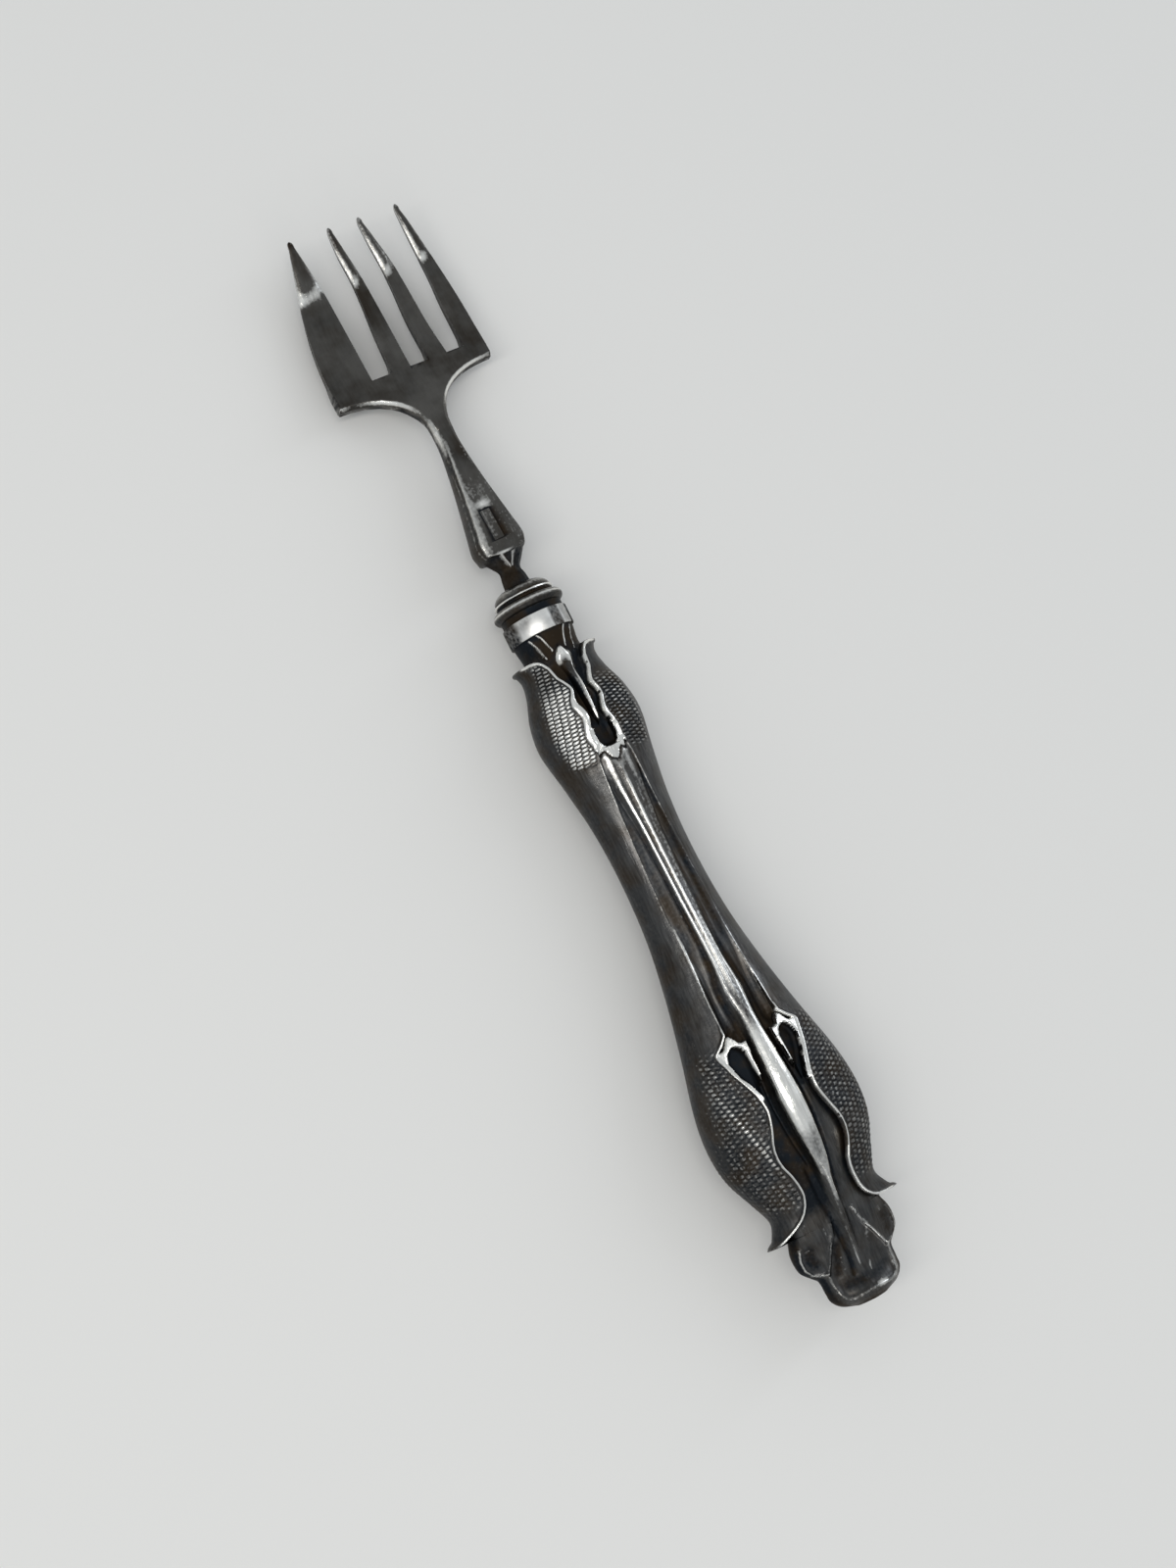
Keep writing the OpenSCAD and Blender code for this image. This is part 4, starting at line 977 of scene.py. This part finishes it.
def add(tree, kind, **values):
    node = tree.nodes.new(kind)
    for key, value in values.items():
        setattr(node, key, value)
    return node


def feed(socket, value):
    """Links a socket to another one, or sets its value."""
    if isinstance(value, bpy.types.NodeSocket):
        socket.id_data.links.new(value, socket)
    else:
        socket.default_value = value


def put(node, **values):
    """Feeds a node's sockets by name, with underscores for spaces."""
    for key, value in values.items():
        feed(node.inputs[key.replace("_", " ")], value)
    return node


def group_of(name, inputs, outputs):
    """A new shader node group with named sockets, its input sockets and its output node."""
    tree = bpy.data.node_groups.new(name, "ShaderNodeTree")
    for label, value in inputs.items():
        kind = "NodeSocketColor" if isinstance(value, tuple) else "NodeSocketFloat"
        tree.interface.new_socket(name=label, in_out="INPUT", socket_type=kind).default_value = value
    for label in outputs:
        kind = "NodeSocketColor" if label == "Color" else "NodeSocketFloat"
        tree.interface.new_socket(name=label, in_out="OUTPUT", socket_type=kind)
    return tree, add(tree, "NodeGroupInput").outputs, add(tree, "NodeGroupOutput")


def math_node(tree, operation, a, b, clamp=False):
    node = add(tree, "ShaderNodeMath", operation=operation, use_clamp=clamp)
    feed(node.inputs[0], a)
    feed(node.inputs[1], b)
    return node.outputs[0]


def mixed(tree, factor, a, b):
    node = add(tree, "ShaderNodeMix", data_type="RGBA")
    for number, value in ((0, factor), (6, a), (7, b)):
        feed(node.inputs[number], value)
    return node.outputs[2]


def noise(tree, place, scale, detail, rough, low, high):
    """Noise with its middle range stretched to nought and one."""
    cloud = put(add(tree, "ShaderNodeTexNoise"), Scale=scale, Detail=detail, Roughness=rough, Vector=place)
    span = put(add(tree, "ShaderNodeMapRange"), From_Min=low, From_Max=high, Value=cloud.outputs["Fac"])
    return span.outputs["Result"]


def tarnish_group():
    """Old silver: patches of patina, tarnish and painted shade under its dark mask, rubbed silver and painted
    highlights under its bright mask.
    """
    if "old_silver" in bpy.data.node_groups:
        return bpy.data.node_groups["old_silver"]
    tree, source, sink = group_of(
        "old_silver",
        {
            "Silver": (0.6, 0.59, 0.56, 1), "Patina": (0.3, 0.3, 0.29, 1), "Worn": (0.92, 0.91, 0.87, 1),
            "Brown": (0.16, 0.09, 0.05, 1), "Blue": (0.05, 0.06, 0.08, 1), "Patches": 0.6, "Gloss": 0.22,
            "Drawn": 0.05, "Hollow": 0.0, "Ridge": 0.0,
        },
        ("Color", "Roughness", "Height"),
    )

    def times(a, b, clamp=False):
        return math_node(tree, "MULTIPLY", a, b, clamp)

    def plus(a, b):
        return math_node(tree, "ADD", a, b)

    place = add(tree, "ShaderNodeTexCoord").outputs["Object"]
    drawn = put(add(tree, "ShaderNodeMapping"), Scale=(1, 0.1, 1), Vector=place).outputs["Vector"]
    blotch = noise(tree, place, 160.0, 4.0, 0.55, 0.35, 0.68)
    warm = noise(tree, place, 310.0, 3.0, 0.5, 0.42, 0.62)
    fine = noise(tree, place, 2600.0, 2.0, 0.5, 0.3, 0.7)
    streak = noise(tree, drawn, 3200.0, 2.0, 0.5, 0.32, 0.68)
    brown, worn, ridge = source["Brown"], source["Worn"], source["Ridge"]
    patch = times(blotch, source["Patches"])
    base = mixed(tree, patch, source["Silver"], source["Patina"])
    base = mixed(tree, times(times(warm, blotch), 0.7), base, brown)
    base = mixed(tree, times(streak, source["Drawn"]), base, worn)
    # The dark mask, tarnish with painted shade, mixes in blue and brown.
    deep = times(times(plus(times(fine, 0.4), 0.8), source["Hollow"]), 1.25, clamp=True)
    base = mixed(tree, deep, base, mixed(tree, warm, source["Blue"], brown))
    # The bright mask, wear with painted highlights, mixes in the bright silver, broken up by noise.
    loss = times(math_node(tree, "SUBTRACT", 1.15, ridge), times(plus(fine, streak), 0.4))
    rub = math_node(tree, "SUBTRACT", times(ridge, 1.5), loss, clamp=True)
    rub = times(rub, plus(times(streak, 0.2), 0.8))
    rough = plus(plus(source["Gloss"], times(patch, 0.16)), times(deep, 0.32))
    rough = math_node(tree, "SUBTRACT", rough, times(rub, 0.06), clamp=True)
    height = plus(times(fine, 0.5), times(blotch, 0.5))
    put(sink, Color=mixed(tree, rub, base, worn), Roughness=rough, Height=height)
    return tree


def scratch_group():
    """Fine scratches in two directions, as a height."""
    if "fine_scratches" in bpy.data.node_groups:
        return bpy.data.node_groups["fine_scratches"]
    tree, source, sink = group_of("fine_scratches", {"Amount": 1.0}, ("Height",))
    place = add(tree, "ShaderNodeTexCoord").outputs["Object"]
    lines = []
    for turn, stretch in ((0.35, 9.0), (-1.1, 14.0)):
        way = add(tree, "ShaderNodeMapping")
        put(way, Rotation=(0, 0, turn), Scale=(1, 1 / stretch, 1), Vector=place)
        lines.append(noise(tree, way.outputs["Vector"], 5200.0, 1.0, 0.4, 0.62, 0.72))
    total = math_node(tree, "ADD", *lines)
    put(sink, Height=math_node(tree, "MULTIPLY", total, source["Amount"]))
    return tree


def fresh_material(name):
    """A new material, its node tree and its shader."""
    material = bpy.data.materials.new(name)
    material.use_nodes = True
    return material, material.node_tree, material.node_tree.nodes["Principled BSDF"]


def bumped(tree, shader, height, strength, distance):
    relief = put(add(tree, "ShaderNodeBump"), Strength=strength, Distance=distance, Height=height)
    put(shader, Normal=relief.outputs["Normal"])


def silver(name, colour, patches, gloss, bump, drawn=0.05, patina=None):
    """A material of old silver, with masks from the piece's own points: tarnish with painted shade, and wear
    with painted highlights.
    """
    material, tree, shader = fresh_material(name)
    look = finish()
    hollow, ridge = (
        add(tree, "ShaderNodeAttribute", attribute_name=mask).outputs["Fac"] for mask in ("hollow", "worn")
    )
    group = put(
        add(tree, "ShaderNodeGroup", node_tree=tarnish_group()), Silver=(*colour, 1),
        Patina=(*(patina or look.patina), 1), Worn=(*look.worn, 1), Brown=(*look.brown, 1),
        Blue=(*look.blue, 1), Patches=patches, Gloss=gloss, Drawn=drawn, Hollow=hollow, Ridge=ridge,
    )
    scratches = put(add(tree, "ShaderNodeGroup", node_tree=scratch_group()), Amount=0.6)
    total = math_node(tree, "ADD", group.outputs["Height"], scratches.outputs["Height"])
    put(shader, Metallic=1.0, Base_Color=group.outputs["Color"], Roughness=group.outputs["Roughness"])
    bumped(tree, shader, total, bump, 0.00003)
    return material


def plain(name, colour, second, scale, rough, metallic, bump):
    """A rough, two-toned material for what lies inside."""
    material, tree, shader = fresh_material(name)
    grain = noise(tree, add(tree, "ShaderNodeTexCoord").outputs["Object"], scale, 4.0, 0.6, 0.3, 0.7)
    put(shader, Metallic=metallic, Roughness=rough, Base_Color=mixed(tree, grain, (*colour, 1), (*second, 1)))
    bumped(tree, shader, grain, bump, 0.0001)
    return material


def length_of(name, text, value):
    return FloatProperty(name=name, description=text, default=value, unit="LENGTH")


def colour_of(name, text, value):
    return FloatVectorProperty(name=name, description=text, default=value, subtype="COLOR", min=0, max=1)


class ForkSizes(bpy.types.PropertyGroup):
    length: length_of("Length", "From the handle's end to the points", 0.145)
    rest_tilt: FloatProperty(
        name="Rest tilt", description="How far the axis dips to the tines", default=math.radians(1.522),
        subtype="ANGLE", unit="ROTATION",
    )
    rest_lift: length_of("Rest lift", "Height of the handle's end over the floor", 0.00766157)
    round_edge: length_of("Edge rounding", "Rounding of the head's edges", 0.00007)
    turned_steps: IntProperty(
        name="Turned steps", description="Faces round the turned pieces", default=144, min=24,
    )


class ForkFinish(bpy.types.PropertyGroup):
    handle: colour_of("Handle", "Silver of the handle", (0.075, 0.074, 0.074))
    head: colour_of("Head", "Silver of the head", (0.11, 0.105, 0.097))
    patina: colour_of("Patina", "Patches of patina", (0.034, 0.033, 0.031))
    # Bright silver of the rubbed ridges, which also paints the highlights.
    worn: colour_of("Worn silver", "Rubbed ridges and edges", (0.93, 0.92, 0.88))
    # The tarnish colours also paint the shade laid into the dark mask.
    brown: colour_of("Brown tarnish", "Warm tarnish in the hollows", (0.032, 0.0235, 0.016))
    blue: colour_of("Blue tarnish", "Cold tarnish in the hollows", (0.014, 0.017, 0.021))
    floor: colour_of("Floor", "Colour of the floor", (0.8, 0.79, 0.77))


class FORK_OT_shells(bpy.types.Operator):
    """Adds the two chased half shells of the handle"""
    bl_idname = "fork.shells"
    bl_label = "Handle shells"

    def execute(self, context):
        points, hollow, worn = handle_relief()
        material = silver("old_chased_silver", finish().handle, patches=0.7, gloss=0.2, bump=0.3)
        for name, back in (("handle_front", False), ("handle_back", True)):
            shell = close_up(name, [shell_sheet(name, points, hollow, worn, back)], 80)
            dress(shell, material, f"{name}_shell")
        return {"FINISHED"}


def cut_mark(head):
    """Sinks the plain, shallow place of the mark into the shank's flat."""
    mark_x, mark_y, mark_floor = -0.25, 102.55, 2.66
    c, s = math.cos(math.radians(2.5)), math.sin(math.radians(2.5))
    bpy.ops.object.select_all(action="DESELECT")
    bpy.ops.mesh.primitive_cube_add(size=1)
    block = named("mark_block")
    corners = block.data.vertices
    across, up, high = np.array([tuple(v.co) for v in corners]).T * [[1.5], [4.2], [1.0]]
    points = [mark_x + across * c - up * s, mark_y + across * s + up * c, mark_floor + 0.5 + high]
    write(corners, "co", lay(np.stack(points, -1)))
    # The block carries a dark mask into the cut: tarnish with painted shade.
    write(block.data.attributes.new("hollow", "FLOAT", "POINT").data, "value", [0.75] * len(high))
    block.data.attributes.new("worn", "FLOAT", "POINT")
    change(block, "BEVEL", width=0.00016, segments=3)
    change(head, "BOOLEAN", operation="DIFFERENCE", solver="EXACT", object=block)
    bpy.data.objects.remove(block)

    # Back from the fork's lie to its own frame, then to the mark's
    tilt = sizes().rest_tilt
    mesh = head.data
    x, y, z = np.array([tuple(v.co) for v in mesh.vertices]).T
    y, z = y + sizes().length / 2 * math.cos(tilt), z - sizes().rest_lift
    y, z = (y * math.cos(tilt) - z * math.sin(tilt)) / MM, (y * math.sin(tilt) + z * math.cos(tilt)) / MM
    x, y = x / MM - mark_x, y - mark_y
    inside = (np.abs(x * c + y * s) < 0.76) & (np.abs(y * c - x * s) < 2.11) & (z > 2.4)
    floor = z < mark_floor + 0.005
    # The recess's walls are painted dark, tarnish with painted shade; its floor is a little dark and a little
    # bright.
    for mask, on_floor, on_wall in (("hollow", 0.1, 1.0), ("worn", 0.22, 0.0)):
        data = mesh.attributes[mask].data
        values = np.where(floor, on_floor, on_wall)
        write(data, "value", np.where(inside, values, [item.value for item in data]))


class FORK_OT_head(bpy.types.Operator):
    """Adds the shank, the plate and the four tines as one piece"""
    bl_idname = "fork.head"
    bl_label = "Head"

    def execute(self, context):
        head = close_up("head", head_sheets())
        edge = {"limit_method": "ANGLE", "angle_limit": math.radians(28)}
        change(head, "BEVEL", width=sizes().round_edge, segments=2, **edge)
        select_only(head)
        bpy.ops.object.shade_smooth_by_angle(angle=math.radians(35))
        cut_mark(head)
        material = silver("old_head_silver", finish().head, patches=0.8, gloss=0.24, bump=0.25, drawn=0.012)
        dress(head, material, "fork_head")
        return {"FINISHED"}


def mirrored_dark(side):
    """What the polished band mirrors: dark at its flanks and a cold patch right of the middle."""
    patch = window(side, 0.14, 0.55, 0.07) * 0.62
    flanks = np.maximum(ease((-side - 0.72) / 0.16) * 0.7, ease((side - 0.74) / 0.1) * 0.85)
    return np.maximum(np.maximum(patch, flanks), 0.3 * ease((side - 0.5) / 0.1))


class FORK_OT_trim(bpy.types.Operator):
    """Adds the turned bolster and the plain ferrule"""
    bl_idname = "fork.trim"
    bl_label = "Bolster and ferrule"

    def execute(self, context):
        # Radius, along, dark (tarnish with painted shade) and bright (wear with painted highlight): spigot
        # and groove, round flange, thin ridge, dome
        profile = [
            (0.89, -4.0, 0, 0), (3.03, -4.0, 0, 0), (3.03, -2.46, 0, 0), (3.56, -2.46, 0, 0), (3.56, 0, 0, 0),
            (4.0, 0.0, 0.9, 0), (3.95, 0.25, 1, 0), (3.93, 0.6, 1, 0), (4.0, 0.85, 0.7, 0),
        ]
        for k in range(13):
            a = math.radians(-90 + 180 * k / 12)
            # The flange is painted dark on its far sides and bright in a highlight band.
            dim = 0.55 if k < 6 or k > 10 else 0.1
            lit = 0.75 * bell(k - 7.2, 1.1)
            profile.append((3.85 + 0.7 * math.cos(a), 0.88 + 0.7 * (1 + math.sin(a)), dim, lit))
        profile += [
            (3.74, 2.32, 0.9, 0), (3.6, 2.46, 1, 0), (3.62, 2.64, 0.8, 0), (3.8, 2.72, 0, 0.9),
            (3.9, 2.83, 0, 1), (3.9, 2.95, 0, 1), (3.8, 3.05, 0, 0.9), (3.66, 3.1, 0.7, 0),
        ]
        for k in range(1, 15):
            a = math.radians(90 * k / 14)
            # The dome is painted dim at its ends, with a soft painted highlight.
            dim = 0.4 if k < 2 or k > 12 else 0.0
            lit = 0.42 * bell(k - 5.5, 3.2)
            profile.append((1.7 + 1.94 * math.cos(a) ** 0.9, 3.12 + 1.28 * math.sin(a), dim, lit))
        profile.append((0.89, 4.4, 0, 0))
        bolster = turned("bolster_turned", profile, BOLSTER, smooth=40)
        look = silver("old_bolster_silver", (0.125, 0.118, 0.105), patches=0.6, gloss=0.2, bump=0.25)
        dress(bolster, look, "bolster")
        # Ferrule: dark at its end faces, its rounded edges painted bright, wear with painted highlight; the
        # dark reflections round it are painted by angle.
        ring = [
            (3.6, 0.06, 0, 0), (3.66, 0.0, 0.4, 0), (4.1, 0.0, 0.6, 0), (4.17, 0.04, 0.2, 0.7),
            (4.2, 0.12, 0, 0.5), (4.2, 1.25, 0, 0), (4.2, 2.38, 0, 0.5), (4.17, 2.46, 0.2, 0.7),
            (4.1, 2.5, 0.6, 0), (3.66, 2.5, 0.4, 0), (3.6, 2.44, 0, 0),
        ]
        band = turned("ferrule_band", ring, MOUTH, smooth=50, around=mirrored_dark)
        look = silver(
            "old_ferrule_silver", (0.86, 0.85, 0.82), patches=0.5, gloss=0.33, bump=0.12,
            patina=(0.42, 0.42, 0.43),
        )
        dress(band, look, "ferrule")
        return {"FINISHED"}


class FORK_OT_core(bpy.types.Operator):
    """Finishes the tang and the filling inside"""
    bl_idname = "fork.core"
    bl_label = "Tang and filling"

    def execute(self, context):
        iron = plain(
            "old_iron", (0.2, 0.19, 0.18), (0.1, 0.09, 0.085),
            scale=900.0, rough=0.55, metallic=1.0, bump=0.5,
        )
        pitch = plain(
            "old_pitch", (0.12, 0.09, 0.06), (0.05, 0.035, 0.025),
            scale=700.0, rough=0.7, metallic=0.0, bump=0.6,
        )
        cover(bpy.data.objects["tang"], iron)
        cover(bpy.data.objects["handle_filling"], pitch)
        return {"FINISHED"}


class FORK_OT_stage(bpy.types.Operator):
    """Adds the floor, the lamps and the camera"""
    bl_idname = "fork.stage"
    bl_label = "Stage"

    def execute(self, context):
        scene = context.scene
        bpy.ops.object.select_all(action="DESELECT")
        bpy.ops.mesh.primitive_plane_add(size=3.0, location=(0, 0, 0))
        floor = named("floor")
        paper, tree, shader = fresh_material("floor_paper")
        put(shader, Base_Color=(*finish().floor, 1), Roughness=0.9, Specular_IOR_Level=0.1)
        cover(floor, paper)
        world = scene.world = bpy.data.worlds.new("studio")
        world.use_nodes = True
        put(world.node_tree.nodes["Background"], Color=(0.93, 0.97, 1.0, 1), Strength=0.6)
        for name, place, size, tall, power, colour in (
            ("key", (-0.24, 0.0, 0.5), 0.07, 0.5, 0.8, (1.0, 0.98, 0.94)),
            ("fill", (0.5, 0.1, 0.34), 0.07, 0.4, 0.35, (0.86, 0.92, 1.0)),
            ("front", (-0.12, -0.52, 0.3), 0.4, 0.07, 0.4, (1.0, 0.99, 0.97)),
        ):
            bpy.ops.object.light_add(type="AREA", location=place)
            lamp = named(name)
            lamp.data.shape = "RECTANGLE"
            lamp.data.size = size
            lamp.data.size_y = tall
            lamp.data.energy = power
            lamp.data.color = colour
            lamp.rotation_euler = (-Vector(place)).to_track_quat("-Z", "Y").to_euler()

        # The camera, where the photograph was taken from
        right = Vector((0.86605, -0.44334, 0.2311))
        down = Vector((-0.39728, -0.89088, -0.22024))
        ahead = Vector((0.30352, 0.09892, -0.94768))
        dip = Matrix.Rotation(-sizes().rest_tilt, 3, "X")
        turn = Matrix((dip @ right, dip @ -down, dip @ -ahead)).transposed()
        bpy.ops.object.camera_add(location=tuple(lay([-89.11, 41.23, 268.24])))
        camera = named("camera")
        camera.rotation_euler = turn.to_euler()
        camera.data.sensor_width = 36.0
        camera.data.lens = 54.09
        camera.data.clip_start = 0.01
        scene.camera = camera
        scene.view_settings.view_transform = "Standard"
        return {"FINISHED"}


class FORK_PT_panel(bpy.types.Panel):
    bl_label = "Oyster fork"
    bl_idname = "FORK_PT_panel"
    bl_space_type = "VIEW_3D"
    bl_region_type = "UI"
    bl_category = "Oyster fork"

    def draw(self, context):
        layout = self.layout
        for group in (context.scene.fork_sizes, context.scene.fork_finish):
            box = layout.box()
            for key in group.__annotations__:
                box.prop(group, key)
        for operator in OPERATORS:
            layout.operator(operator.bl_idname)


OPERATORS = (FORK_OT_shells, FORK_OT_head, FORK_OT_trim, FORK_OT_core, FORK_OT_stage)
CLASSES = (ForkSizes, ForkFinish, *OPERATORS, FORK_PT_panel)


def register():
    for item in CLASSES:
        bpy.utils.register_class(item)
    bpy.types.Scene.fork_sizes = PointerProperty(type=ForkSizes)
    bpy.types.Scene.fork_finish = PointerProperty(type=ForkFinish)


def unregister():
    del bpy.types.Scene.fork_finish
    del bpy.types.Scene.fork_sizes
    for item in reversed(CLASSES):
        bpy.utils.unregister_class(item)


def main():
    register()
    bpy.ops.fork.shells()
    bpy.ops.fork.head()
    bpy.ops.fork.trim()
    bpy.ops.fork.core()
    bpy.ops.fork.stage()


if __name__ == "__main__":
    main()
